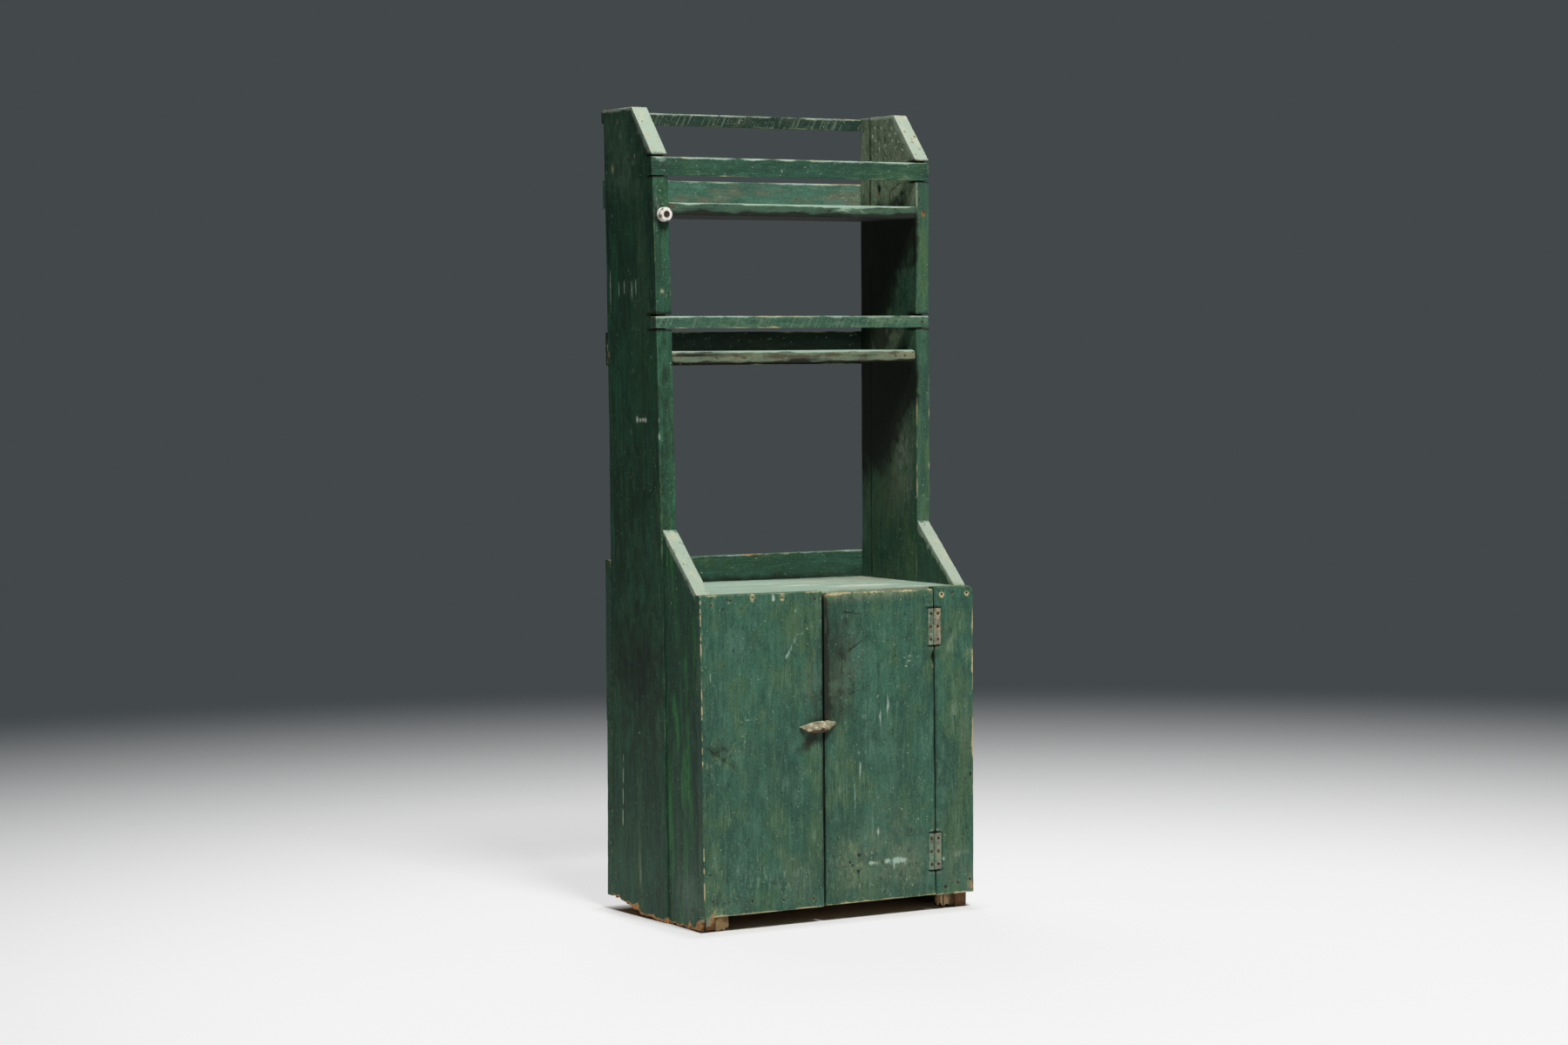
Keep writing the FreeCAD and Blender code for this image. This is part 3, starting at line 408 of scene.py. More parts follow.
def layered(name, base, second, patterns, layers, finish, own_marks=True, bump=0.0004):
    """A material of a base colour in two shades with layers of colour laid over it in turn.

    patterns: name -> (bumps per mm along and across the grain, detail, roughness, turn if any).
    layers: (mark or None, pattern, gain, from, to, strength, colour, roughness added). The
    pattern makes the mark ragged. A layer without a mark shows where its pattern does, and a
    pattern's name can stand for the mark.
    finish: roughness, specular level and the like, set on the shader's own sockets.
    """
    material = bpy.data.materials.new(name)
    material.use_nodes = True
    tree = material.node_tree
    shader = tree.nodes["Principled BSDF"]
    for key, value in finish.items():
        shader.inputs[key].default_value = value
    if own_marks:
        place = add_node(tree, "ShaderNodeAttribute", {"attribute_name": "grain_mm"})
        place = place.outputs["Vector"]
    else:
        place = add_node(tree, "ShaderNodeTexCoord").outputs["Object"]
        place = measured(tree, "MULTIPLY", place, (1 / MM, 1 / MM, 1 / MM)).outputs[0]
    fields = {}
    for key, (along, across, detail, roughness, *turn) in patterns.items():
        turned = place
        if turn:
            turned = add_node(tree, "ShaderNodeVectorRotate", {"rotation_type": "Y_AXIS"},
                              {"Vector": place, "Angle": turn[0]}).outputs[0]
        scaled = measured(tree, "MULTIPLY", turned, (along, across, across)).outputs[0]
        fields[key] = add_node(
            tree, "ShaderNodeTexNoise", None,
            {"Vector": scaled, "Scale": 1.0, "Detail": detail, "Roughness": roughness},
        ).outputs[0]
    marks = {
        key: add_node(tree, "ShaderNodeAttribute", {"attribute_name": key}).outputs["Fac"]
        for key in LOOKS if any(layer[0] == key for layer in layers)
    }
    marks.update(fields)
    colour = blended(
        tree, rising(tree, fields["patches"], 0.36, 0.64), linear(base), linear(second)
    )
    rough = finish["Roughness"]
    height = fields["streaks"]
    if "grains" in fields:
        height = calculated(tree, "MULTIPLY_ADD", fields["grains"], 1.5, height)
    for mark, pattern, gain, low, high, strength, tint, more_rough in layers:
        amount = fields[pattern]
        if mark is not None:
            # The mark's strength, made ragged by the pattern about its mean of a half.
            amount = calculated(tree, "MULTIPLY_ADD", amount, gain, marks[mark])
            low, high = low + gain / 2, high + gain / 2
        mask = rising(tree, amount, low, high, strength)
        colour = blended(tree, mask, colour, linear(tint))
        if more_rough:
            rough = calculated(tree, "MULTIPLY_ADD", mask, more_rough, rough)
            height = calculated(tree, "MULTIPLY_ADD", mask, -0.7, height)
    tree.links.new(colour, shader.inputs["Base Color"])
    if not isinstance(rough, float):
        tree.links.new(rough, shader.inputs["Roughness"])
    relief = add_node(
        tree, "ShaderNodeBump", None, {"Strength": 0.6, "Distance": bump, "Height": height}
    )
    tree.links.new(relief.outputs[0], shader.inputs["Normal"])
    return material


# Noise bumps per millimetre: (along the grain, across it, detail, roughness). Pine's growth
# rings stand 2 to 4 mm apart on a flat-sawn face, brush marks 8 to 12 mm.
WOOD_PATTERNS = {
    "patches": (0.0035, 0.011, 3.0, 0.55),
    "clouds": (0.009, 0.016, 3.0, 0.6),
    "mottle": (0.028, 0.05, 4.0, 0.6),
    "brush": (0.0035, 0.085, 3.0, 0.6),
    "blots": (0.022, 0.13, 3.0, 0.6),
    "streaks": (0.010, 0.33, 3.0, 0.6),
    "scratches": (0.024, 0.55, 2.0, 0.6),
    "flakes": (0.045, 0.13, 5.0, 0.72),
    "grains": (0.24, 0.36, 3.0, 0.7),
    "specks": (0.15, 0.19, 2.0, 0.5),
    "pits": (0.085, 0.11, 2.0, 0.5),
}
SAW_PATTERN = (0.012, 0.22, 3.0, 0.6, math.radians(64))
PAINT_FINISH = {"Roughness": 0.55, "Specular IOR Level": 0.32}
# Each green: (thin, deep, warm and faded paint, its light grains, the clouds' length and width
# in bumps per mm, the strength of the saw marks). Two take thin and deep from the settings.
GREENS = {
    "brushed_green": (None, None, "#415c3a", "#426857", "#607f68", (0.009, 0.016), 0),
    "dark_green": (None, None, "#2d5030", "#2e6249", "#4a7459", (0.004, 0.03), 0),
    "streaked_green": ("#274d39", "#1b3c2c", "#368a45", "#325e49", "#50795a", (0.003, 0.04), 0),
    "post_green": ("#345843", "#28493a", "#42603a", "#40644f", "#5f7c64", (0.005, 0.02), 0),
    "rail_green": ("#254938", "#203f31", "#335438", "#325a4a", "#4b6e58", (0.008, 0.03), 0),
    "sawn_green": ("#37604c", "#2b4e3c", "#4c6848", "#44705b", "#6b8a70", (0.008, 0.03), 0.4),
    "dark_sawn": ("#22392e", "#1a3025", "#353e30", "#284438", "#455547", (0.008, 0.03), 0.5),
    "faded_green": ("#406656", "#365a4a", "#676553", "#4a7361", "#698874", (0.012, 0.04), 0),
    "splash_green": ("#2a4a3a", "#234233", "#314930", "#305746", "#436952", (0.009, 0.03), 0),
    # Near-black paint: painted shade for the board that stands in the top shelf's shadow.
    "shaded_green": ("#102017", "#0d1b13", "#1c2516", "#172c20", "#233a2c", (0.009, 0.03), 0),
}
# Chalk, raw wood and dust by paint: the sides stand half in shade and wore paler.
SIDE_TINTS = ("#a5b5a2", "#c9955c", "#7b9a80")
TINTS = {
    "dark": SIDE_TINTS, "streaked": SIDE_TINTS, "post": ("#a8b5a3", "#7d5a38", "#9ca489"),
    "faded": ("#a3b8a6", "#5d4f3a", "#6a6656"), "front": ("#a2b8a6", None, "#6f7a62"),
}


def milk_paint(kind):
    """Brushed milk paint on pine, a century old: matt and granular, thin over the growth rings,
    worn yellow then to bare wood at the edges, with grime in the joints. Its grime layer also
    paints shade in slits, recesses and under the shelves."""
    c = colours()
    paint, deep, warm, faded, light, clouds, saw = GREENS[kind]
    if kind == "brushed_green":
        paint, deep = c.front_paint, c.front_paint_deep
    if kind == "dark_green":
        paint, deep = c.side_paint, c.side_paint_deep
    patterns = dict(WOOD_PATTERNS, clouds=clouds + (3.0, 0.6))
    chalk, raw, dust = TINTS.get(kind.split("_")[0], TINTS["front"])
    cloudy = 0.75 if kind == "brushed_green" else 0.5
    greened = "blots" if kind == "streaked_green" else "brush"
    layers = [
        (None, "clouds", 0, 0.48, 0.66, 0.80, warm, 0),
        (None, "clouds", 0, 0.47, 0.33, 0.75, faded, 0),
        ("olive", greened, 1.6, 0.42, 0.95, 0.85, warm, 0),
        ("dust", "mottle", 0.9, 0.12, 0.95, 0.85, dust, 0.05),
        (None, "mottle", 0, 0.50, 0.65, cloudy, deep, 0),
        (None, "mottle", 0, 0.46, 0.32, cloudy * 0.7, faded, 0),
        (None, "blots", 0, 0.50, 0.66, 0.36, deep, 0),
        (None, "blots", 0, 0.48, 0.33, 0.28, light, 0),
        (None, "brush", 0, 0.54, 0.70, 0.35, faded, 0),
        (None, "brush", 0, 0.46, 0.30, 0.55, deep, 0),
        (None, "streaks", 0, 0.46, 0.30, 0.40, deep, 0.04),
        (None, "streaks", 0, 0.58, 0.72, 0.25, light, 0),
        (None, "grains", 0, 0.52, 0.68, 0.38, light, 0.03),
        (None, "grains", 0, 0.47, 0.32, 0.44, "#1b2e22", 0),
        ("clouds", "scratches", 1.0, 0.64, 0.84, 0.55, light, 0.05),
        ("pale", "flakes", 1.8, 0.25, 1.05, 0.90, chalk, 0.05),
        ("pale", "clouds", 6.0, 1.20, 2.40, 0.65, "#bdb99c", 0.05),
        ("pale", "streaks", 6.0, 1.50, 2.60, 0.55, "#7d9180", 0.03),
        ("dust", "specks", 8.0, 1.90, 2.60, 0.75, "#a9ae98", 0.08),
        ("pale", "flakes", 1.0, 3.00, 3.60, 0.92, "#dde5d8", 0.03),
        (None, "specks", 0, 0.675, 0.73, 0.55, "#8f9e86", 0.08),
        (None, "pits", 0, 0.70, 0.74, 0.70, "#171c14", 0.10),
        ("wear", "flakes", 1.5, 0.30, 0.56, 0.65, "#6c7f5a", 0.06),
        ("wear", "flakes", 1.5, 0.64, 0.82, 0.85, c.worn_pine, 0.16),
        ("bare", "flakes", 1.2, 0.38, 0.66, 0.92, raw or c.raw_pine, 0.2),
        ("bare", "pits", 3.0, 0.95, 1.50, 0.75, "#6a4326", 0.1),
        # Dark grime; where the marks ask for it, this same layer is painted shade.
        ("grime", "mottle", 1.0, 0.05, 1.00, 0.92, "#15170f", -0.06),
    ]
    if saw:
        patterns["saw"] = SAW_PATTERN
        layers[12:12] = [
            (None, "saw", 0, 0.55, 0.64, saw, "#74826f", 0.05),
            (None, "saw", 0, 0.44, 0.34, 0.55, deep, 0.02),
        ]
    # The posts' paint dried in a skin like orange peel.
    bump = 0.0009 if kind == "post_green" else 0.0005
    return layered(
        f"{kind}_milk_paint", paint, deep, patterns, layers, PAINT_FINISH, bump=bump
    )


def shelf_paint(name, paint, warm, dark, worn):
    """The same paint on the rack shelves, rubbed by use: mint on top, with the paint's green,
    cream and bare brown by turns along the rounded front."""
    c = colours()
    return layered(
        name, paint, warm, WOOD_PATTERNS,
        (
            (None, "clouds", 0, 0.50, 0.64, 0.75, warm, 0),
            (None, "mottle", 0, 0.48, 0.32, 0.50, dark, 0),
            (None, "streaks", 0, 0.47, 0.32, 0.60, dark, 0.04),
            (None, "flakes", 0, 0.58, 0.70, 0.45, worn, 0.04),
            (None, "grains", 0, 0.48, 0.32, 0.50, "#1f2a20", 0),
            (None, "pits", 0, 0.66, 0.71, 0.80, "#22211a", 0.10),
            ("pale", "flakes", 1.2, 0.34, 0.66, 0.90, c.mint_paint, 0.05),
            ("bare", "flakes", 1.2, 0.36, 0.66, 0.92, "#4d4534", 0.2),
            ("wear", "flakes", 1.5, 0.70, 0.95, 0.55, worn, 0.06),
            # Grime, and painted shade on the front's lower band and underneath.
            ("grime", "mottle", 1.0, 0.05, 1.00, 0.92, "#14150f", -0.04),
        ),
        PAINT_FINISH,
    )


def mint_paint():
    """Chalky pale paint on pine, rubbed through to cream ground and brown wood."""
    c = colours()
    return layered(
        "rubbed_mint_paint", c.mint_paint, "#9bb3a0", WOOD_PATTERNS,
        (
            ("pale", "clouds", 1.8, 0.25, 0.85, 0.85, "#c9cfbf", 0.03),
            ("dust", "mottle", 1.2, 0.15, 0.85, 0.75, "#827f6c", 0.05),
            (None, "clouds", 0, 0.54, 0.70, 0.55, "#b1a58c", 0.05),
            (None, "mottle", 0, 0.52, 0.74, 0.50, "#87907a", 0),
            (None, "brush", 0, 0.50, 0.74, 0.45, "#b4c6b8", 0),
            (None, "streaks", 0, 0.46, 0.28, 0.45, "#68785f", 0.04),
            (None, "grains", 0, 0.47, 0.32, 0.35, "#5f6a56", 0),
            (None, "pits", 0, 0.67, 0.71, 0.60, "#3c3a2a", 0.10),
            ("wear", "flakes", 1.4, 0.40, 0.60, 0.70, "#8f8f70", 0.05),
            ("wear", "flakes", 1.4, 0.66, 0.84, 0.80, "#6b5638", 0.16),
            ("bare", "flakes", 1.2, 0.34, 0.62, 0.92, "#6b5438", 0.2),
            ("grime", "mottle", 1.0, 0.18, 0.90, 0.88, "#1a1a12", -0.04),
        ),
        PAINT_FINISH,
    )


def bare_pine():
    """Sawn pine left unpainted: brown with age, ring lines dark, greyed where it was handled."""
    c = colours()
    return layered(
        "sawn_aged_pine", c.aged_pine, "#6f5537", WOOD_PATTERNS,
        (
            (None, "mottle", 0, 0.50, 0.74, 0.45, "#9c8360", 0),
            (None, "brush", 0, 0.50, 0.30, 0.45, "#564128", 0),
            (None, "streaks", 0, 0.50, 0.32, 0.65, "#4b3822", 0.04),
            (None, "pits", 0, 0.66, 0.71, 0.70, "#20170e", 0.06),
            ("pale", "flakes", 1.2, 0.30, 0.62, 0.80, "#b3b19c", 0.04),
            ("wear", "flakes", 1.4, 0.50, 0.80, 0.60, "#b59a70", 0.05),
            ("bare", "flakes", 1.0, 0.34, 0.62, 0.90, "#bd9d72", 0.08),
            ("grime", "mottle", 1.1, 0.18, 0.80, 0.85, "#17140d", -0.02),
        ),
        {"Roughness": 0.78, "Specular IOR Level": 0.3},
        bump=0.0006,
    )


# Iron's rust blooms are 1 to 4 mm across.
IRON_PATTERNS = {
    "patches": (0.12, 0.12, 3.0, 0.6),
    "mottle": (0.35, 0.35, 4.0, 0.65),
    "streaks": (0.9, 0.9, 3.0, 0.7),
}


def rusted_iron():
    """Wrought and pressed iron, rusted all over: dark brown, matt and granular, with orange
    blooms and a little bare metal left on the high spots."""
    return layered(
        "rusted_iron", colours().rust, "#2c211b", IRON_PATTERNS,
        (
            (None, "mottle", 0, 0.54, 0.68, 0.70, "#7a4524", 0.10),
            (None, "streaks", 0, 0.58, 0.72, 0.50, "#59504a", -0.12),
        ),
        {"Roughness": 0.7, "Metallic": 0.35}, own_marks=False, bump=0.0003,
    )


def painted_iron(name, paint, deep):
    """Pressed iron under brushed paint: smoother than the wood, chipped to rust."""
    return layered(
        name, paint, deep, IRON_PATTERNS,
        (
            (None, "mottle", 0, 0.56, 0.66, 0.85, "#553520", 0.12),
            (None, "streaks", 0, 0.60, 0.72, 0.50, "#a7a78f", 0.02),
        ),
        {"Roughness": 0.5, "Specular IOR Level": 0.45}, own_marks=False, bump=0.0003,
    )


def glazed_porcelain():
    """Slip-cast porcelain under a clear glaze: smooth and glossy, chipped at the rim, with dirt
    in the groove and the screw's recess."""
    return layered(
        "glazed_porcelain", colours().porcelain, "#d6d2c4",
        {
            "patches": (0.05, 0.05, 3.0, 0.5),
            "mottle": (0.35, 0.35, 4.0, 0.6),
            "streaks": (0.02, 0.02, 2.0, 0.5),
        },
        (
            (None, "mottle", 0, 0.63, 0.71, 0.45, "#7d6d52", 0.20),
            ("bare", "mottle", 0.9, 0.30, 0.55, 0.90, "#6b5d47", 0.30),
            ("grime", "mottle", 0.7, 0.10, 0.80, 0.96, "#241a10", 0.30),
        ),
        {"Roughness": 0.16, "IOR": 1.5, "Coat Weight": 0.5, "Coat Roughness": 0.06},
        bump=0.00005,
    )


def carved_wood():
    """A stick whittled with a knife: facets rubbed pale and dirty, with brown painted shade on the
    faces that look down.
    """
    return layered(
        "whittled_hardwood", "#a39c80", "#847d62", WOOD_PATTERNS,
        (
            (None, "pits", 0, 0.50, 0.62, 0.80, "#69694f", 0),
            (None, "pits", 0, 0.46, 0.36, 0.70, "#c9c4a8", 0),
            (None, "grains", 0, 0.50, 0.62, 0.55, "#55503b", 0.03),
            (None, "specks", 0, 0.64, 0.70, 0.60, "#4e5d4b", 0.03),
            # Brown painted shade on the faces that look down, and bare wood elsewhere.
            ("bare", "mottle", 0.9, 0.25, 0.70, 0.92, "#5a4228", 0.06),
            ("grime", "mottle", 0.8, 0.25, 0.80, 0.85, "#1c170f", 0),
        ),
        {"Roughness": 0.6, "Specular IOR Level": 0.35},
    )


# Shape of the cabinet's sides, read from the frame
left_low, left_high = corners("left_side_rear_board")
right_low, right_high = corners("right_side_rear_board")
strip_low, strip_high = corners("right_side_rear_strip")
panel_low, panel_high = corners("front_left_panel")
TOP = left_high[2]
LEFT_THICKNESS = 36.0
# The sides' front boards stand this much inside the rear ones.
FRONT_SIDE_INSET = 4.0
LEAN = left_high[0] - left_low[0] - LEFT_THICKNESS
RACK_FRONT = left_low[1]
SIDE_BACK = left_high[1]
FRONT = panel_low[1]
RIGHT = right_high[0]
RIGHT_INNER = right_low[0]
# Old boards move: how far the left side stands right of its straight lean, as seen in the
# photo, at these depths (front, rack's front, rear) and heights (floor, counter, top).
WARP_HEIGHTS = (0.0, 740.0, 1680.0)
WARP = ((0.5, 2.3, 1.0), (3.5, 6.6, 0.2), (-5.5, 6.4, 9.6))


def warp(y, z):
    """Sideways bend of the left side."""
    a, b, c = WARP_HEIGHTS
    share = (
        (z - b) * (z - c) / ((a - b) * (a - c)),
        (z - a) * (z - c) / ((b - a) * (b - c)),
        (z - a) * (z - b) / ((c - a) * (c - b)),
    )
    front, middle, rear = (sum(w * s for w, s in zip(row, share)) for row in WARP)
    to_middle = np.clip((y - FRONT) / (RACK_FRONT - FRONT), 0, 1)
    to_rear = np.clip((y - RACK_FRONT) / (SIDE_BACK - RACK_FRONT), 0, 1)
    return front + (middle - front) * to_middle + (rear - middle) * to_rear


def left_face(y, z):
    """The left side's outer face."""
    return left_low[0] + LEAN * (1 - z / TOP) + np.maximum(warp(y, z), -LEAN * (1 - z / TOP))


def stacked(x, y, z):
    return np.stack(np.broadcast_arrays(x, y, z), -1)


# The old case has settled: the counter's left end stands this much higher than its right.
COUNTER_RISE = 5.0
# Height at which the front boards start to rise with it.
RISE_START = 642.0
COUNTER_HEIGHT = 682.0


def counter_rise(x, z, start):
    """How far a point of the case's top moves up, from nothing at the height start."""
    top = panel_high[2]
    leftward = np.clip((RIGHT - x) / (2 * RIGHT), 0, 1)
    return COUNTER_RISE * leftward * np.clip((z - start) / (top - start), 0, 1)


# Sloped edges of the side boards: the rear boards' foot and run, and how far theirs and the
# front boards' rise for each millimetre back.
SLOPE_FOOT = 1580.0
SLOPE_RUN = 87.0
SLOPE_GRADE = 1.15
FRONT_SLOPE_GRADE = 0.93
# Housings of the front rails in the side boards, cut with some play: (low, high, depth).
HOUSING_PLAY = (2.4, 3.4)
HOUSINGS = [
    (low[2] - HOUSING_PLAY[0], high[2] + HOUSING_PLAY[1], high[1] - RACK_FRONT)
    for low, high in (corners("top_front_rail"), corners("middle_front_rail"))
]
HOUSING_REACH = 110.0


def rack_edge(y, z):
    """Moves a side board's depth back for the sloped top and the rails' housings."""
    back = np.clip((z - SLOPE_FOOT) / (TOP - SLOPE_FOOT), 0, 1) * SLOPE_RUN
    for low, high, depth in HOUSINGS:
        back = np.where((z > low) & (z < high), depth, back)
    share = np.clip(1 - (y - RACK_FRONT) / HOUSING_REACH, 0, 1)
    return y + back * share


ROT_START, ROT_HEIGHT = -4.6, 30.0


def rotted_floor(y, seed):
    """How much of the left side's foot is gone, rising to the rear, with broken fibres."""
    gone = np.interp(y, (ROT_START, 105.4, 159.5, SIDE_BACK), (0, 12.9, ROT_HEIGHT, ROT_HEIGHT))
    line = np.stack([y, 0 * y, 0 * y], -1)
    broken = noise(line, 17, seed, 3) * 5 + noise(line, 4, seed + 4) * 2.2
    return np.clip(gone + broken * np.clip(gone / 8, 0, 1), 0, ROT_HEIGHT + 6)


ROT_FADE = 70.0


def side_place(x_at, thickness_sign, floor=None, edge=True):
    """Where a full-height side board's points go. x_at gives its outer face."""
    def place(points):
        z = points[:, 0].copy()
        y = points[:, 1]
        if floor is not None:
            z = z + floor(y) * np.clip(1 - z / ROT_FADE, 0, 1)
        if edge:
            y = rack_edge(y, z)
        if floor is not None:
            y = y - edge_chips(y, z)
        return stacked(x_at(y, z) + thickness_sign * points[:, 2], y, z)
    return place


def shifted(place, start):
    """The same place for points counted from start, so that a board's rows begin at 0."""
    return lambda points: place(points + np.array([0, start, 0]))


RACK_STEPS = [edge for low, high, _ in HOUSINGS for edge in (low, high)]


def slit_shade_marks(x):
    """Painted shade in the slits above and below the rails' ends."""
    return [("grime", (x, RACK_FRONT + depth / 2, edge), (90, depth, 3.0), 1.6)
            for low, high, depth in HOUSINGS for edge in (low + 0.5, high - 0.5)]


def edge_chips(y, z):
    """Where the left side's rear arris is knocked in, up to 3 mm."""
    line = stacked(z, 0, 0).astype(float)
    chips = 3.0 * np.clip(noise(line, (70, 1, 1), 91, 3) - 0.15, 0, 1)
    return chips * np.clip(1 - (SIDE_BACK - y) / 12, 0, 1)


def raw_foot(height, peaks, front=0.0, grey=0.0):
    """Raw wood along a side board's foot, where the paint has gone with the ground moisture.
    peaks are (across, reach, height) of taller patches, front and grey bare and grey the front
    edge."""
    def dress(flat, looks):
        tall = height + sum(
            rise * np.exp(-(((flat[:, 1] - at) / reach) ** 2)) for at, reach, rise in peaks
        )
        broken = 1 + 0.7 * noise(flat, (8, 24, 14), 63) + 0.3 * noise(flat, (8, 7, 14), 64)
        ragged = tall * np.clip(broken, 0.2, 2.2)
        looks["bare"] += 1.3 * np.clip(1.4 - flat[:, 0] / np.maximum(ragged, 0.5), 0, 1)
        edge = (flat[:, 1] < 3) * (flat[:, 0] < 34)
        looks["bare"] += front * edge
        looks["pale"] += grey * edge
    return dress


# The left side's outer face about halfway up. Marks reach some millimetres across it.
LEFT_X = -326
# How far back white drops and streaks stand, where its mesh is finer.
LEFT_STREAKS = (141, 171.5, 132, 108, 74, 55.5, 25, 36, 48, 61)
LEFT_MARKS = slit_shade_marks(LEFT_X) + [
    # A long thin scratch above the foot, broken in places
    ("pale", (-321, 143 - (z - 176) / 80, z), (6, 1.0, 4), 1.0)
    for z in range(176, 336, 4) if z % 44 > 8
] + blots(0, LEFT_X, 9, {
    "pale": (
        (25, 1037, 2.8, 3.4, 6.0), (36, 1037, 2.4, 2.8, 5.5), (48, 1036.5, 2.4, 2.8, 5.5),
        (61, 1037, 4, 4.6, 6.5), (113, 1619, 7, 9, 0.9), (46.7, 1579.5, 3.4, 6, 1.5),
        (57, 1566, 5, 5, 0.9), (48.4, 1126, 6, 13, 0.5), (60, 820, 60, 30, 0.2),
        (80, 1174, 3, 5, 0.8), (75, 1139, 3, 7, 0.8),
    ),
    "dust": (
        (110, 1310, 70, 30, 0.15), (90, 1640, 130, 80, 0.65), (80, 1530, 130, 60, 0.5),
        (20, 1400, 40, 90, 0.4), (70, 70, 130, 130, 0.36), (20, 330, 30, 60, 0.3),
    ),
    "wear": ((150.6, 1559, 8, 17, 0.9), (2, 1588, 9, 9, 0.9)),
    "bare": ((122.6, 1654, 4, 13, 0.9), (40, 1350, 12, 40, 0.3), (19, 40, 4, 8, 0.6)),
    "olive": (
        (41, 1347, 16, 50, 1.0), (14, 1125, 24, 60, 1.3), (150, 1060, 40, 80, 0.8),
        (100, 700, 30, 60, 0.7),
    ),
    "grime": (
        (77, 1150, 2.6, 5, 1.0), (172, 61, 3, 5, 1.2), (71, 50, 3, 5, 1.2),
        (19, 42, 3, 5, 1.2),
    ),
}) + blots(0, LEFT_X, 14, {
    "pale": ((-28, 1478, 7, 40, 0.6), (-5, 1167, 4, 5, 0.8)),
    "bare": (
        (-22, 1500, 10, 22, 0.5), (183, 1171, 6, 14, 0.55), (-25, 206, 5, 6, 1.0),
        (-31, 90, 4, 26, 0.6),
    ),
    "grime": ((-20, 1490, 6, 9, 0.7), (-14, 1462, 9, 20, 0.5), (80, 830, 130, 150, 0.36)),
}) + blots(0, -330, 9, {
    "pale": (
        (171.5, 1312, 1.7, 32, 4.4), (132, 1303, 1.5, 10, 4.2), (108, 1310, 1.4, 11, 4.0),
        (74, 1306, 1.5, 15, 4.3), (55.5, 1310, 1.5, 12, 4.0),
    ),
}) + [
    ("pale", (LEFT_X, -31, 1003), (5, 3, 9), 1.4), ("pale", (LEFT_X, -31, 1036), (4, 2, 6), 1.0),
    ("wear", (LEFT_X, -31, 930), (3, 2, 30), 0.6),
    ("grime", (-320, 80, 520), (24, 150, 150), 0.64),
    ("grime", (-312, RACK_FRONT, 950), (22, 4, 500), 0.33),
    ("dust", (LEFT_X, 60, 1260), (12, 130, 90), 0.26),
    ("bare", (LEFT_X, SIDE_BACK, 190), (10, 4, 190), 0.5),
    ("wear", (-312.4, RACK_FRONT, 1299), (5, 6, 8), 1.1),
    ("grime", (-312.4, RACK_FRONT, 1296), (3, 6, 3.4), 1.3),
    ("grime", (LEFT_X, SIDE_BACK, 800), (10, 6, 900), 0.3),
    ("grime", (LEFT_X, RACK_FRONT, 1457), (10, 9, 30), 0.6),
    ("grime", (-312, RACK_FRONT, 1447), (14, 5, 8), 0.9),
] + [("olive", (LEFT_X, 184, z), (9, 12, 45), 0.9) for z in (1095, 1000, 900, 840)]
# Knots and spots that show through the paint of the right side's inner face.
RIGHT_SPOTS = (
    (62.8, 1654), (104.6, 1657), (46.3, 1641), (125.7, 1631), (36, 1624), (59, 1628),
    (112, 1612), (129, 1658), (78, 1668), (48, 1611), (89, 1619), (148, 1603), (138, 1640),
    (71, 1640), (20, 1606),
)
RIGHT_MARKS = slit_shade_marks(322) + blots(0, RIGHT_INNER, 5, {
    "pale": [(y, z, 2.5, 2.8, 5.0) for y, z in RIGHT_SPOTS],
}) + blots(0, RIGHT_INNER, 6, {
    "bare": ((114, 1514, 5, 6, 1.1), (60, 1530, 60, 20, 0.3)),
    "grime": (
        # The blots at 1425, 1330, 1115 and 1040 high are painted shadow: the shelves' shade on this
        # face, made deeper.
        (90, 1629, 3, 11, 1.0), (-20, 1560, 14, 50, 0.25), (75, 1425, 120, 66, 1.9),
        (125, 1330, 70, 100, 1.7), (70, 1115, 120, 50, 2.0), (125, 1040, 70, 110, 1.7),
        (90, 860, 60, 150, 0.25), (90, 1215, 120, 30, 0.4), (60, 1040, 60, 50, 0.7),
    ),
    "dust": (
        (60, 1600, 190, 95, 1.5), (60, 1500, 170, 30, 0.8), (90, 1200, 60, 34, 0.55),
        (30, 1000, 60, 110, 0.4), (40, 880, 90, 130, 0.32), (90, 1215, 120, 30, 0.5),
    ),
    "olive": ((60, 1190, 140, 40, 0.5), (100, 860, 90, 90, 0.8)),
    "pale": ((30, 960, 16, 40, 0.4), (10, 850, 14, 60, 0.36), (60, 900, 5, 40, 0.4)),
}) + [
    ("dent", (RIGHT_INNER, 115.6, 1524), (5, 4, 6), 4),
    ("grime", (RIGHT_INNER, 115.6, 1524), (5, 4.5, 6.5), 1.7),
    ("grime", (326, RACK_FRONT, 1470), (2.4, 6, 2.6), 1.9),
    ("bare", (323.6, RACK_FRONT, 1468.2), (6, 3, 7.5), 1.2),
    ("olive", (323, RACK_FRONT, 1390), (14, 6, 60), 1.2),
    ("olive", (323, RACK_FRONT, 1300), (14, 6, 40), 0.8),
    ("grime", (RIGHT_INNER, RACK_FRONT + 4, 1400), (6, 6, 60), 0.5),
] + [
    # Chips along both front arrises
    ("wear", (arris, RACK_FRONT, z), (3.4, 5, reach), 0.55)
    for arris, rows in (
        (RIGHT_INNER, ((1060, 12), (1035, 16), (975, 9), (925, 14), (880, 20))),
        (RIGHT, ((1120, 9), (1045, 16), (930, 12), (870, 26))),
    ) for z, reach in rows
] + strokes(0, RIGHT_INNER, (
    ("grime", (66, 1519), (29, 1536), 1.6, 0.15), ("grime", (23, 1509), (-1, 1525), 1.6, 0.12),
    ("grime", (66, 1519), (60, 1508), 1.6, 0.12),
))
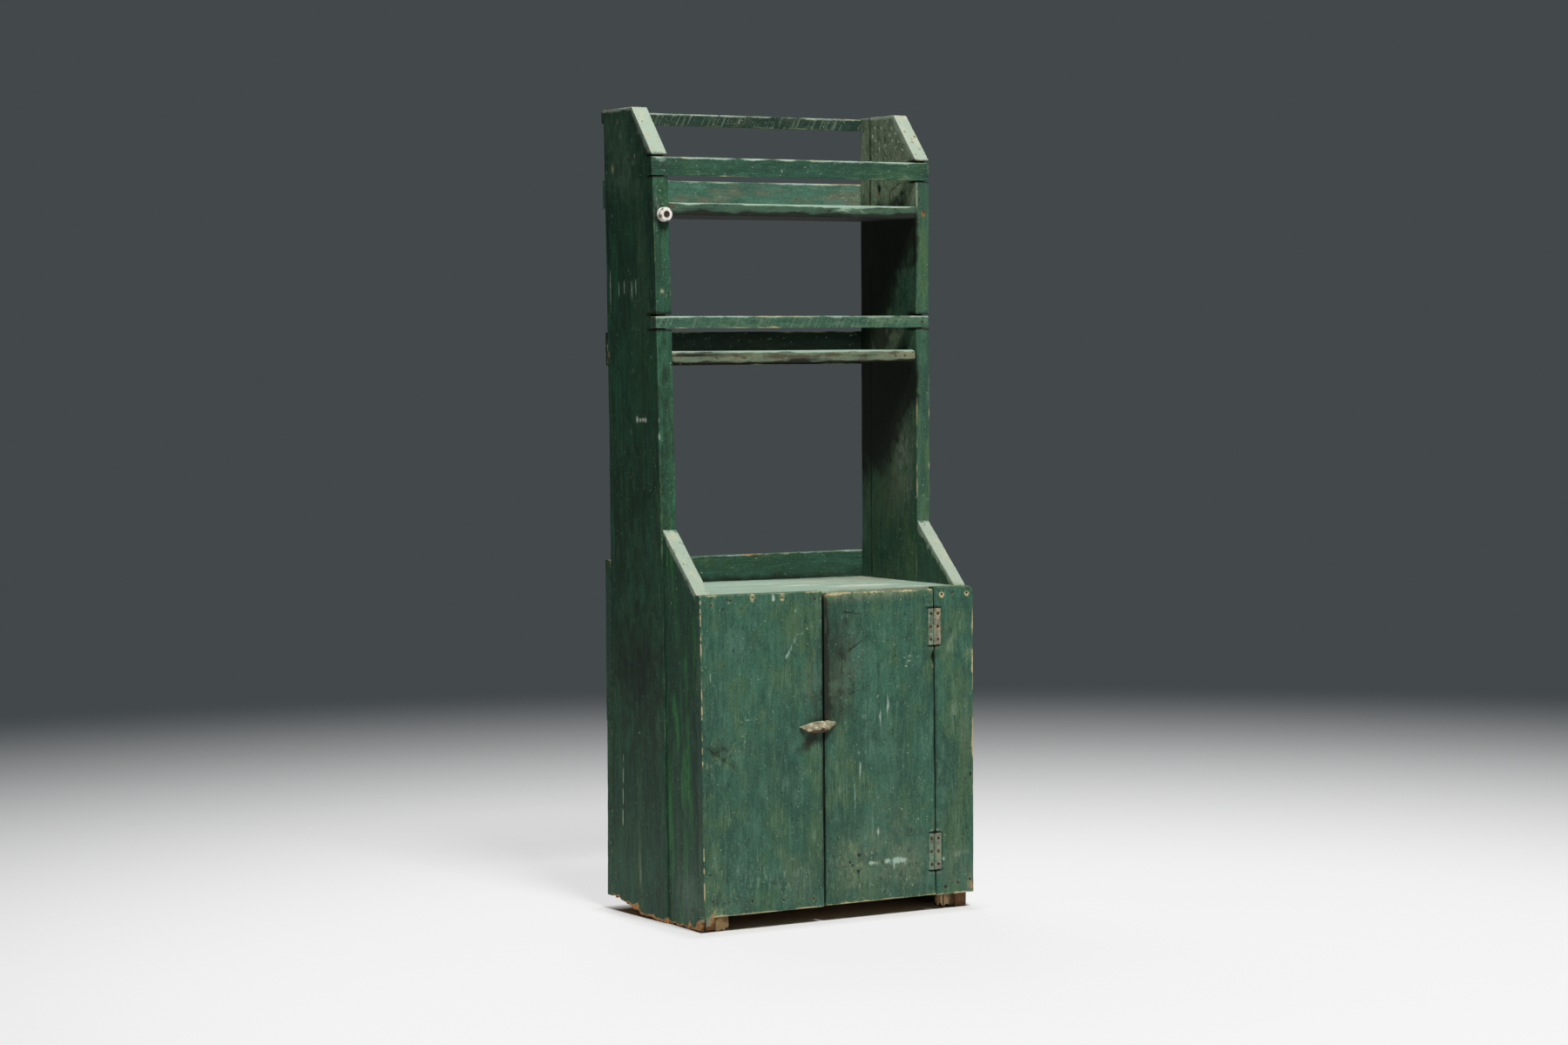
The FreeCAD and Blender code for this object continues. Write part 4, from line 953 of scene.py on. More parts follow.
STRIP_MARKS = [
    ("pale", (RIGHT, strip_low[1], TOP), (60, 60, 5), 1.0),
    ("dust", (RIGHT_INNER, 165, 1600), (6, 80, 120), 1.4),
    ("grime", (RIGHT_INNER, strip_low[1], 1590), (6, 3, 130), 1.6),
    # Painted shadow: the shelves' shade on the strip at these two heights.
    ("grime", (RIGHT_INNER, 170, 1360), (8, 60, 110), 1.8),
    ("grime", (RIGHT_INNER, 170, 1060), (8, 60, 150), 1.7),
    ("grime", (RIGHT_INNER, strip_low[1], 800), (6, 3, 900), 1.2),
]


def make_side_boards():
    side, streaked, post = map(milk_paint, ("dark_green", "streaked_green", "post_green"))
    depth = SIDE_BACK - RACK_FRONT
    streak_rows = [at - RACK_FRONT + step for at in LEFT_STREAKS
                   for step in (-2.2, -1.1, 0, 1.1, 2.2)]
    fine = np.concatenate([np.arange(3, 64, 3), np.arange(1029, 1046, 2)])
    steps = RACK_STEPS + [SLOPE_FOOT]
    board(
        "left_side_rear_board", (TOP, depth, LEFT_THICKNESS),
        ((5.5, fine, steps), (3.8, streak_rows), 4),
        shifted(side_place(left_face, 1, lambda y: rotted_floor(y, 11)), RACK_FRONT),
        side, 1, marks=LEFT_MARKS + end_marks(True), wear=0.6,
        dress=raw_foot(5.5, ((0, 8, 7), (60, 14, 4), (120, 16, 7), (150, 9, 5))),
    )
    right_depth = right_high[1] - RACK_FRONT
    thickness = RIGHT - RIGHT_INNER
    board(
        "right_side_rear_board", (TOP, right_depth, thickness),
        ((5.5, np.arange(1500, 1664, 2.6), steps), 3.0, 5),
        shifted(side_place(lambda y, z: RIGHT, -1), RACK_FRONT),
        post, 2, marks=RIGHT_MARKS + end_marks(False), fray=(3, 0),
        olive=0.15, wear=0.6,
    )
    board(
        "right_side_rear_strip", (TOP, strip_high[1] - strip_low[1], thickness), (7, 5, 6),
        shifted(side_place(lambda y, z: RIGHT, -1, edge=False), strip_low[1]),
        post, 3, fray=(3, 0), olive=0.5, marks=STRIP_MARKS,
    )
    make_front_side(streaked, "left_side_front_board", True, 4)
    make_front_side(post, "right_side_front_board", False, 5)


def end_marks(left):
    """Pale paint on a side board's sloped edge and top end, knocked bare in places."""
    x = -320 if left else 322
    marks = [("pale", (x, y, SLOPE_FOOT + (y - RACK_FRONT) * SLOPE_GRADE), (60, 14, 14), 0.95)
             for y in np.arange(RACK_FRONT + 4, RACK_FRONT + SLOPE_RUN, 13)]
    knocks = ((0, 5), (11, -9), (22, 8), (35, -3), (46, 10), (55, -8))
    marks += [("bare", (x + off, RACK_FRONT + y, SLOPE_FOOT + y * SLOPE_GRADE), (4, 4, 5), 0.8)
              for y, off in knocks]
    return marks + [("pale", (x, y, TOP), (60, 26, 5), 0.95) for y in range(60, 200, 22)]


def make_front_side(material, node, left, seed):
    low, high = corners(node)
    thickness = LEFT_THICKNESS - FRONT_SIDE_INSET if left else high[0] - low[0]
    depth = high[1] - low[1]
    slope_low = corners("counter_top")[1][2] + COUNTER_RISE * left

    def place(points):
        y = low[1] + points[:, 1]
        head = slope_low + (high[2] - slope_low) * points[:, 1] / depth
        z = points[:, 0] * head / high[2]
        if left:
            return stacked(left_face(y, z) + FRONT_SIDE_INSET + points[:, 2], y, z)
        return stacked(high[0] - points[:, 2], y, z)

    outer = low[0] if left else high[0]
    marks = [
        ("pale", (outer, y, slope_low + (y - low[1]) * FRONT_SLOPE_GRADE), (70, 13, 13), 0.95)
        for y in np.arange(low[1], high[1] + 1, 12)
    ]
    marks += [("grime", (outer, low[1], 350), (40, 7, 330), 0.5)]
    if left:
        # Streaks of bright green
        marks += [
            ("olive", (outer, y, z), (30, 9, reach), amount) for y, z, reach, amount in (
                (-92, 600, 46, 0.9), (-119, 540, 44, 0.9), (-66, 455, 34, 1.2),
                (-80, 400, 50, 1.4), (-110, 340, 50, 1.5), (-128, 310, 50, 1.4),
                (-100, 290, 44, 1.5), (-90, 200, 50, 0.4),
            )
        ]
        marks += blots(0, outer, 40, {
            "grime": ((high[1], 300, 4, 400, 0.7), (-48, 42, 3, 5, 1.2), (-136, 42, 3, 5, 1.2)),
            "bare": ((high[1], 80, 4, 30, 0.6), (-50, 44, 6, 12, 0.55)),
        }) + blots(0, outer, 30, {
            "dust": ((-110, 90, 60, 80, 0.3), (-120, 60, 70, 70, 0.42), (-60, 690, 30, 60, 0.3)),
            "grime": ((-100, 230, 80, 60, 0.2), (-160, 560, 12, 70, 0.3)),
        }) + [
            ("grime", (low[0] + 20, low[1], 12), (2.2, 8, 30), 1.3),
        ]
    peaks, bare, grey = ((20, 20, 6),), 1.4, 0.5
    if left:
        peaks, bare, grey = ((6, 14, 26), (50, 8, 16), (80, 8, 10), (97, 6, 10)), 0.35, 1.3
    board(
        node, (high[2], depth, thickness), ((5, np.arange(2, 44, 2.5)), 3.2, 4), place,
        material, seed, marks=marks, fray=(mm(sizes().fray), 0),
        dress=raw_foot(4.5, peaks, bare, grey),
    )


def crossing(node):
    """Place for a board that lies between the sides: (along, depth, down from its top)."""
    low, high = corners(node)

    def place(points):
        y = low[1] + points[:, 1]
        z = high[2] - points[:, 2]
        start = inner_left(y, z)
        x = start + (RIGHT_INNER - start) * points[:, 0] / length_of(node, RIGHT_INNER)
        return stacked(x, y, z + (counter_rise(x, z, low[2]) if node == "counter_top" else 0))
    return place


def length_of(node, edge_right):
    return edge_right - corners(node)[0][0]


def inner_left(y, z):
    return left_face(y, z) + LEFT_THICKNESS


# Bare wood along the middle shelf's front
SHELF_WEAR = [("bare", (x, RACK_FRONT, z), (reach, 8, 5), amount) for x, z, reach, amount in (
    (-140, 1168, 12, 0.9), (-118, 1163, 9, 0.8), (-40, 1166, 26, 1.0), (20, 1164, 40, 0.9),
    (95, 1169, 30, 0.9), (170, 1165, 40, 0.7), (250, 1171, 24, 0.7),
)]
SHELVES = (
    ("top_shelf", 6, blots(1, RACK_FRONT, 8, {
        "bare": ((-292, 1474, 12, 9, 0.9),),
        # The dark blots along the front's lower band are partly painted shade where the nose turns
        # down.
        "grime": (
            (-225, 1468, 46, 7, 0.55), (-100, 1465, 44, 6, 0.5), (60, 1464, 60, 5, 0.45),
            (262, 1468, 30, 6, 0.4),
        ),
        "pale": ((140, 1473, 70, 8, 0.5),),
        "wear": ((-20, 1466, 110, 8, 0.7),),
    }) + [
        ("grime", (0, SIDE_BACK, 1482), (400, 26, 5), 0.5),
    ]),
    ("middle_shelf", 7, SHELF_WEAR + [
        ("grime", (0, SIDE_BACK, 1178), (400, 26, 5), 0.5),
        ("grime", (20, RACK_FRONT, 1159), (50, 8, 3), 1.0),
        ("dent", (-250, RACK_FRONT, 1169.5), (44, 9, 1.6), 5),
        ("grime", (-250, RACK_FRONT, 1169.5), (44, 9, 1.8), 1.6),
        ("grime", (-200, RACK_FRONT, 1172), (110, 8, 8), 0.45),
        ("dent", (-292, RACK_FRONT, 1166), (9, 12, 4), 6),
        ("bare", (-268, RACK_FRONT, 1173), (18, 9, 4), 0.9),
    ]),
    ("counter_top", 8, blots(2, COUNTER_HEIGHT, 9, {
        "pale": (
            (126, -78, 80, 32, 0.9), (223, -148, 60, 16, 0.8), (29, -9, 60, 20, 0.7),
            (-14, 54, 46, 22, 0.6), (207, -71, 50, 18, 0.7), (-200, -120, 70, 30, 0.4),
        ),
        "dust": (
            (282, 111, 60, 90, 1.1), (172, 60, 60, 40, 0.6), (155, 140, 90, 30, 0.7),
            (200, -172, 170, 6, 0.9), (-60, 20, 50, 22, 0.5),
        ),
    }) + [
        ("grime", (0, SIDE_BACK, COUNTER_HEIGHT), (400, 30, 5), 0.7),
        ("wear", (60, -165, COUNTER_HEIGHT), (200, 5, 4), 0.5),
    ]),
)


def make_shelves():
    paints = {
        "top_shelf": shelf_paint("rubbed_teal_paint", "#385c4a", "#435d49", "#2a3b2c", "#8a9a82"),
        "middle_shelf": shelf_paint(
            "rubbed_khaki_paint", "#5c6f59", "#7c7d61", "#33392a", "#a3a088"
        ),
        "counter_top": mint_paint(),
    }
    for node, seed, marks in SHELVES:
        low, high = corners(node)
        depth, thickness = high[1] - low[1], high[2] - low[2]
        length = length_of(node, RIGHT_INNER)
        reach = mm(sizes().shelf_wear) * (node != "counter_top")

        def dress(flat, looks, thickness=thickness, rack=bool(reach), top=node == "top_shelf"):
            if not rack:
                return
            # Mint above; brown and dark on the front's wavy foot and underneath: bare wood and
            # painted shade where the shelf faces down.
            looks["pale"] += 0.75 * (flat[:, 2] < 1e-6)
            foot = thickness - (9.5 if top else 3.5) + 3 * noise(flat, (38, 200, 200), 71, 3)
            below = np.clip((flat[:, 2] - foot) / 2.5, 0, 1)
            looks["grime"] += 0.85 * below
            looks["bare"] += (0.5 if top else 0.9) * below
        board(
            node, (length, depth, thickness), (5, 7, 2.4), crossing(node), paints[node],
            seed, grain=0, marks=marks, crest=0.85 * bool(reach),
            dress=dress, soft=lambda flat: reach * np.exp(-((flat[:, 1] / 16) ** 2)),
        )


def upright(node):
    """Place for a board across the sides' edges: (along, down from its top, back from its
    front)."""
    low, high = corners(node)

    def place(points):
        z = high[2] - points[:, 1]
        y = low[1] + points[:, 2]
        start = left_face(y, z)
        x = start + (RIGHT - start) * points[:, 0] / length_of(node, RIGHT)
        return stacked(x, y, z)
    return place


# Brown wood and dust along the upper back board's foot
BACK_WEAR = [(kind, (x, SIDE_BACK, z), (reach, 9, 9), amount) for x, z, reach in (
    (-150, 1496, 30), (-90, 1494, 34), (-30, 1506, 40), (60, 1515, 34), (160, 1500, 50),
    (240, 1510, 40),
) for kind, amount in (("bare", 0.42), ("dust", 0.7))] + [
    ("dust", (305, SIDE_BACK, 1505), (60, 9, 24), 1.1),
]
# Each board: its paint if any, seed, edge wear, pale arris with a painted highlight, and marks
RAILS_AND_BACKS = (
    ("top_front_rail", "rail_green", 10, 1.3, 0.75, [
        ("pale", (-312, RACK_FRONT, 1568), (12, 9, 8), 0.5),
    ]),
    ("middle_front_rail", "sawn_green", 11, 1.2, 0.75, [
        ("pale", (200, RACK_FRONT, 1240), (90, 9, 14), 0.2),
        ("pale", (-318, RACK_FRONT, 1249), (14, 9, 3), 0.7),
    ]),
    ("top_back_rail", "dark_sawn", 12, 1.0, 0.6, []),
    ("upper_back_board", "faded_green", 13, 1.0, 0.8, BACK_WEAR),
    # Near-black paint: painted shade for the board in the top shelf's shadow.
    ("middle_back_board", "shaded_green", 14, 0.8, 0, [
        ("bare", (-330, SIDE_BACK, 1190), (20, 12, 30), 0.5),
    ]),
    ("case_back_upper_board", "splash_green", 15, 1.0, 0.6, [
        ("grime", (0, SIDE_BACK, 684), (400, 8, 14), 0.8),
        ("bare", (20, SIDE_BACK, 740), (60, 9, 3), 0.7),
        ("dust", (-334, SIDE_BACK + 12, 640), (6, 30, 180), 1.1),
    ]),
    ("case_back_narrow_board", None, 16, 1.0, 0, []),
    ("case_back_middle_board", None, 17, 1.0, 0, []),
    ("case_back_lower_board", None, 18, 1.0, 0, []),
)


def make_rails_and_backs():
    pine = bare_pine()
    ends = milk_paint("dark_green")
    for node, paint, seed, edge, crest, marks in RAILS_AND_BACKS:
        low, high = corners(node)
        width, thickness = high[2] - low[2], high[1] - low[1]
        length = length_of(node, RIGHT)
        pitch = 5 if width < 80 else 11
        board(
            node, (length, width, thickness), (pitch, pitch * 0.7, 4), upright(node),
            milk_paint(paint) if paint else pine,
            seed, grain=0, marks=marks,
            edge=edge, crest=crest, end_material=None if paint else ends,
        )


CLEAT_WIDTH = 20.0
# Dark cracks in the battens' ends: (across, half width)
BATTEN_CRACKS = {"left": ((9, 1.6), (23, 2.0)), "right": ((7, 1.5), (19, 1.6), (30, 5))}


def make_inner_framing():
    pine = bare_pine()
    for seed, node in enumerate(("inner_shelf", "case_bottom"), 20):
        low, high = corners(node)
        depth, thickness = high[1] - low[1], high[2] - low[2]
        length = length_of(node, RIGHT_INNER)
        board(
            node, (length, depth, thickness), (14, 11, 6), crossing(node), pine,
            seed, grain=0,
            marks=[("grime", (0, SIDE_BACK, high[2]), (420, 40, 6), 0.6),
                   ("grime", (-260, 0, high[2]), (26, 300, 6), 0.4)],
        )
    for seed, side in ((22, "left"), (23, "right")):
        node = f"front_batten_{side}"
        low, high = corners(node)
        width = high[0] - low[0] - (LEAN * high[2] / TOP if side == "left" else 0)

        def place(points, low=low, width=width, side=side):
            z = points[:, 0]
            y = low[1] + points[:, 2]
            x = inner_left(y, z) if side == "left" else RIGHT_INNER - width
            return stacked(x + points[:, 1], y, z)
        board(
            node, (high[2], width, high[1] - low[1]), ((12, np.arange(4, 40, 5)), 5, 5),
            place, pine, seed,
            fray=(mm(sizes().fray) * (1.6 if side == "left" else 2.4), 0), edge=2.0,
            marks=[
                ("bare", (low[0], low[1], 6), (60, 30, 20), 1.1),
                ("pale", (low[0] + 8, low[1], 14), (16, 30, 9), 1.0),
                ("wear", (low[0] + 24, low[1], 8), (9, 30, 12), 0.9),
            ] + [
                ("grime", (low[0] + across, low[1], 10), (reach, 30, 40), 1.3)
                for across, reach in BATTEN_CRACKS[side]
            ],
        )
    for seed, name in enumerate(("counter", "inner_shelf", "bottom"), 24):
        for side in ("left", "right"):
            node = f"{name}_cleat_{side}"
            low, high = corners(node)
            length, height = high[1] - low[1], high[2] - low[2]
            width = CLEAT_WIDTH

            def place(points, low=low, high=high, side=side):
                y = low[1] + points[:, 0]
                z = high[2] - points[:, 1]
                if side == "left":
                    return stacked(inner_left(y, z) + width - points[:, 2], y, z)
                return stacked(RIGHT_INNER - width + points[:, 2], y, z)
            board(
                node, (length, height, width), (16, 6, 6), place, pine,
                seed + (10 if side == "left" else 0), grain=1,
            )


# Front boards and door
door_low, door_high = corners("door_board")
stile_low, stile_high = corners("front_right_stile")
MORTISE_MARGIN = 2.5
MORTISE_DEPTH = 2.2
BARREL_DEPTH = 2.9
BARREL_REACH = 3.6
PAST_EDGE = 1e4


def slant(z, amount):
    """The gaps beside the door lean: left of plumb at the top, right of it at the foot."""
    middle = (panel_low[2] + panel_high[2]) / 2
    return -amount * (z - middle) / (panel_high[2] - middle)


def front_place(low, high, left_edge, right_edge):
    def place(points):
        z = low[2] + points[:, 0]
        y = low[1] + points[:, 2]
        start, end = left_edge(y, z), right_edge(y, z)
        x = start + (end - start) * points[:, 1] / (high[0] - low[0])
        return stacked(x, y, z + counter_rise(x, z, RISE_START))
    return place


def mortise_boxes(low, side):
    """Hinge recesses in a front board's own length and width: (from, to, from, to, depth)."""
    found = []
    for level in ("upper", "lower"):
        leaf_low, leaf_high = corners(f"{level}_hinge_{side}_leaf")
        pin = sum(c[0] for c in corners(f"{level}_hinge_pin")) / 2
        top = leaf_high[2] + MORTISE_MARGIN - low[2]
        foot = leaf_low[2] - MORTISE_MARGIN - low[2]
        if side == "door":
            inner = leaf_low[0] - MORTISE_MARGIN - low[0]
            found.append((foot, top, inner, PAST_EDGE, MORTISE_DEPTH))
            found.append((foot, top, pin - BARREL_REACH - low[0], PAST_EDGE, BARREL_DEPTH))
        else:
            inner = leaf_high[0] + MORTISE_MARGIN - low[0]
            found.append((foot, top, -PAST_EDGE, inner, MORTISE_DEPTH))
            found.append((foot, top, -PAST_EDGE, pin + BARREL_REACH - low[0], BARREL_DEPTH))
    return found


def recess_of(boxes):
    def depth(points):
        found = np.zeros(len(points))
        for foot, top, near, far, deep in boxes:
            inside = (points[:, 0] > foot) & (points[:, 0] < top)
            inside &= (points[:, 1] > near) & (points[:, 1] < far)
            found = np.where(inside, np.maximum(found, deep), found)
        return found
    return depth


# Driven nails in the front boards: across, up, and how much bare wood rings the head.
PANEL_NAILS = (
    (-297.6, 667, 0.45), (-252.3, 674.5, 0.4), (-200.6, 678.5, 1.15), (-130.1, 676, 1.0),
    (-51.8, 670, 0.2), (-295.5, 66, 0.2), (-204, 58, 0.3), (-130, 55, 0.2), (-57.1, 52, 0.35),
    (-302.5, 120, 0.2),
)
STILE_NAILS = (
    (260.2, 666.5, 1.0), (287, 669, 0.3), (323.3, 667, 0.95), (268.5, 49, 0.4), (300, 56, 0.2),
    (329.5, 60, 0.4),
)


def nail_marks(spots):
    """Dimples and rings of bare wood round nails driven in the front boards."""
    marks = []
    for x, z, ring in spots:
        spot = (x, FRONT, z)
        marks += [("dent", spot, (4.0, 6, 4.0), 1.0), ("wear", spot, (6.8, 8, 7.6), ring * 1.7),
                  ("bare", spot, (4.0, 8, 4.5), ring * 0.5), ("grime", spot, (3.4, 6, 3.4), 0.9)]
    return marks


def fine_rows(spots, start):
    return [spot - start + step for spot in spots for step in (-6, -4, -2, 0, 2, 4, 6)]


def worn_ends(foot, head, amount, near, far, line=(), specks=()):
    """Paint rubbed off a front board's foot and head. near and far are how much of the usual
    wear its two long edges have, line is where the near edge is chipped: (up, reach, amount),
    specks where dirt and chips are strewn: (up, across, reach, amount)."""
    def dress(flat, looks):
        ragged = np.clip(1 + 0.75 * noise(flat, (16, 12, 14), 67, 3), 0.05, 2.4)
        top = flat[:, 0].max() - flat[:, 0]
        across = flat[:, 1].max() - flat[:, 1]
        inside = (flat[:, 0] > 12) & (top > 12)
        for away, share in ((flat[:, 1], near), (across, far)):
            looks["wear"] *= np.where(inside, 1 + (share - 1) * np.exp(-((away / 7) ** 2)), 1)
        looks["wear"] *= np.where(top < 12, 0.6, 1)
        chips = np.exp(-((flat[:, 1] / 2.2) ** 2) - (flat[:, 2] / 2.6) ** 2)
        chips *= np.clip(0.4 + 1.0 * noise(flat, (7, 5, 14), 69, 3), 0, 1.5)
        for up, reach, share in line:
            looks["wear"] += share * chips * np.exp(-(((flat[:, 0] - up) / reach) ** 2))
        for up, over, reach, share in specks:
            spot = share * np.exp(-((flat[:, 0] - up) ** 2 + (flat[:, 1] - over) ** 2) / reach ** 2)
            looks["grime"] += 1.6 * spot * (noise(flat, (7, 6, 14), 73) > 0.45)
            looks["wear"] += 1.3 * spot * (noise(flat, (7, 5, 14), 75) > 0.55)
        looks["wear"] += 0.7 * np.exp(-((flat[:, 0] / (foot * ragged)) ** 2))
        looks["wear"] += amount * np.exp(-((top / (head * ragged)) ** 2))
    return dress


# Radius to which the stile's outer top corner is rubbed.
CORNER_RADIUS = 13.0
PANEL_MARKS = nail_marks(PANEL_NAILS) + [
    # Stain along the gap beside the door
    ("grime", (panel_high[0], FRONT, z), (5, 12, 120), 0.5) for z in (120, 300, 480, 640)
] + strokes(1, FRONT, (
    ("pale", (-96, 597), (-118, 556), 3.4, 0.36), ("pale", (-94, 600), (-80, 601), 2.2, 0.45),
    ("pale", (-231, 425), (-211, 431), 2.0, 0.32), ("pale", (-211, 431), (-190, 430), 2.0, 0.3),
    ("pale", (-151, 682), (-151, 671), 3.0, 0.8), ("grime", (-309, 378), (-250, 340), 1.8, 0.2),
)) + blots(1, FRONT, 6, {
    "pale": (
        (-120, 552.7, 5, 5.5, 0.6), (-225, 397.5, 4, 4, 0.7),
        (-227.6, 444, 2.6, 2.6, 0.35), (-299.7, 520, 4.5, 15, 0.5),
        (-270, 350, 34, 26, 0.2), (-300, 322, 14, 20, 0.2), (-180, 250, 50, 40, 0.14),
        (-180, 110, 170, 70, 0.3),
    ),
    "bare": ((-213, 517, 3, 10, 0.45), (-300, 36, 14, 12, 0.6)),
    "olive": (
        (-87, 618, 40, 60, 1.3), (-60, 500, 22, 80, 0.8), (-150, 190, 60, 90, 0.6),
        (-270, 640, 40, 30, 0.5), (-150, 640, 60, 24, 0.5),
    ),
    "grime": (
        (-58, 480, 26, 80, 0.34), (-52, 415, 14, 50, 0.45), (-285, 372, 30, 14, 0.42),
        (-245, 340, 14, 12, 0.5), (-262, 395, 40, 30, 0.25), (-225, 315, 20, 30, 0.25),
        (-160, 375, 18, 90, 0.2), (-180, 560, 40, 60, 0.12), (-110, 330, 34, 60, 0.14),
        (-75, 372, 16, 14, 0.5), (-60, 382, 26, 24, 0.36),
    ),
    "dust": (
        (-62, 490, 26, 70, 0.5), (-90, 90, 60, 70, 0.5), (-260, 50, 60, 50, 0.45),
        (-250, 370, 60, 60, 0.35), (-150, 300, 30, 120, 0.22),
    ),
    "wear": ((-309, 340, 8, 10, 0.5), (-268, 352, 40, 30, 0.3), (-290, 45, 20, 14, 0.6)),
}) + [
    ("dent", (-213, FRONT, 470), (5, 5, 60), 0.6),
]
STILE_MARKS = nail_marks(STILE_NAILS) + blots(1, FRONT, 6, {
    "wear": ((325, 541, 10, 24, 0.5), (294, 473, 14, 20, 0.35)),
    "grime": (
        (331, 283, 3, 3.6, 1.2), (326, 372, 18, 70, 0.28), (268, 49, 5, 4, 0.9),
        (282, 588, 2, 12, 0.6),
    ),
    "dust": ((322, 380, 24, 90, 0.5), (295, 90, 70, 70, 0.5), (330, 50, 10, 22, 0.9)),
    "olive": ((310, 300, 40, 130, 0.75), (300, 480, 26, 60, 0.4), (290, 170, 40, 60, 0.7)),
    "bare": ((334, 46, 6, 12, 0.7),),
    "pale": ((261.5, 109, 3.4, 3.4, 0.9),),
}) + [
    ("wear", (RIGHT, FRONT, 515), (5, 10, 26), 1.0),
    ("wear", (RIGHT, FRONT, 600), (4, 10, 50), 0.8),
    ("wear", (RIGHT, FRONT, 380), (4, 10, 60), 0.6), ("wear", (338, FRONT, 350), (3, 10, 20), 0.8),
    ("grime", (244, FRONT, 380), (4, 9, 330), 0.5),
] + strokes(1, FRONT, (("pale", (268, 112), (330, 121), 9, 0.2),))


def make_fixed_fronts():
    green = milk_paint("brushed_green")
    tilt = mm(sizes().gap_slant)
    size = (panel_high - panel_low)[[2, 0, 1]]
    board(
        "front_left_panel", size,
        ((3.6, fine_rows([z for _, z, _ in PANEL_NAILS], panel_low[2])),
         (3.4, fine_rows([x for x, _, _ in PANEL_NAILS], panel_low[0])), 5),
        front_place(panel_low, panel_high, left_face,
                    lambda y, z: panel_high[0] + slant(z, tilt * 0.6)),
        green, 40, marks=PANEL_MARKS, dress=worn_ends(3.0, 3.0, 0.4, 0.7, 0.3, (
            (634, 34, 2.6), (545, 40, 1.1), (430, 50, 1.6), (330, 30, 1.1), (90, 50, 2.0),
            (8, 20, 2.2),
        ), ((330, 44, 50, 0.2), (30, 60, 70, 0.28), (20, 200, 60, 0.25))),
    )
    boxes = mortise_boxes(stile_low, "stile")
    size = (stile_high - stile_low)[[2, 0, 1]]
    straight = front_place(stile_low, stile_high,
                           lambda y, z: stile_low[0] + slant(z, tilt), lambda y, z: RIGHT)

    def place(points):
        out = np.clip(points[:, 1] - (size[1] - CORNER_RADIUS), 0, CORNER_RADIUS)
        drop = CORNER_RADIUS - np.sqrt(CORNER_RADIUS ** 2 - out ** 2)
        near = np.clip(1 - (size[0] - points[:, 0]) / 60, 0, 1)
        return straight(points - stacked(drop * near, 0, 0))
    board(
        "front_right_stile", size,
        ((3.6, fine_rows([z for _, z, _ in STILE_NAILS], stile_low[2]),
          sorted({edge for box in boxes for edge in box[:2]})),
         (3.2, fine_rows([x for x, _, _ in STILE_NAILS], stile_low[0]),
          sorted({box[3] for box in boxes})), 5),
        place, green, 41, marks=STILE_MARKS + mortise_marks("stile"),
        recess=recess_of(boxes), olive=0.2,
        dress=worn_ends(4.0, 4.0, 0.45, 0.25, 1.1),
    )


def mortise_marks(side):
    """Chipped pale paint above and below each hinge leaf, with painted shade in the recess's gap
    along its ends.
    """
    marks = []
    for level in ("upper", "lower"):
        low, high = corners(f"{level}_hinge_{side}_leaf")
        middle = (low[0] + high[0]) / 2
        for z, step in ((low[2], -1), (high[2], 1)):
            # Painted shade in the recess's gap just past the leaf, then chipped paint beyond it.
            marks += [("grime", (middle, FRONT, z + step * 2), (11, 6, 3), 1.1),
                      ("pale", (middle, FRONT, z + step * 7), (12, 6, 4), 0.6)]
    return marks


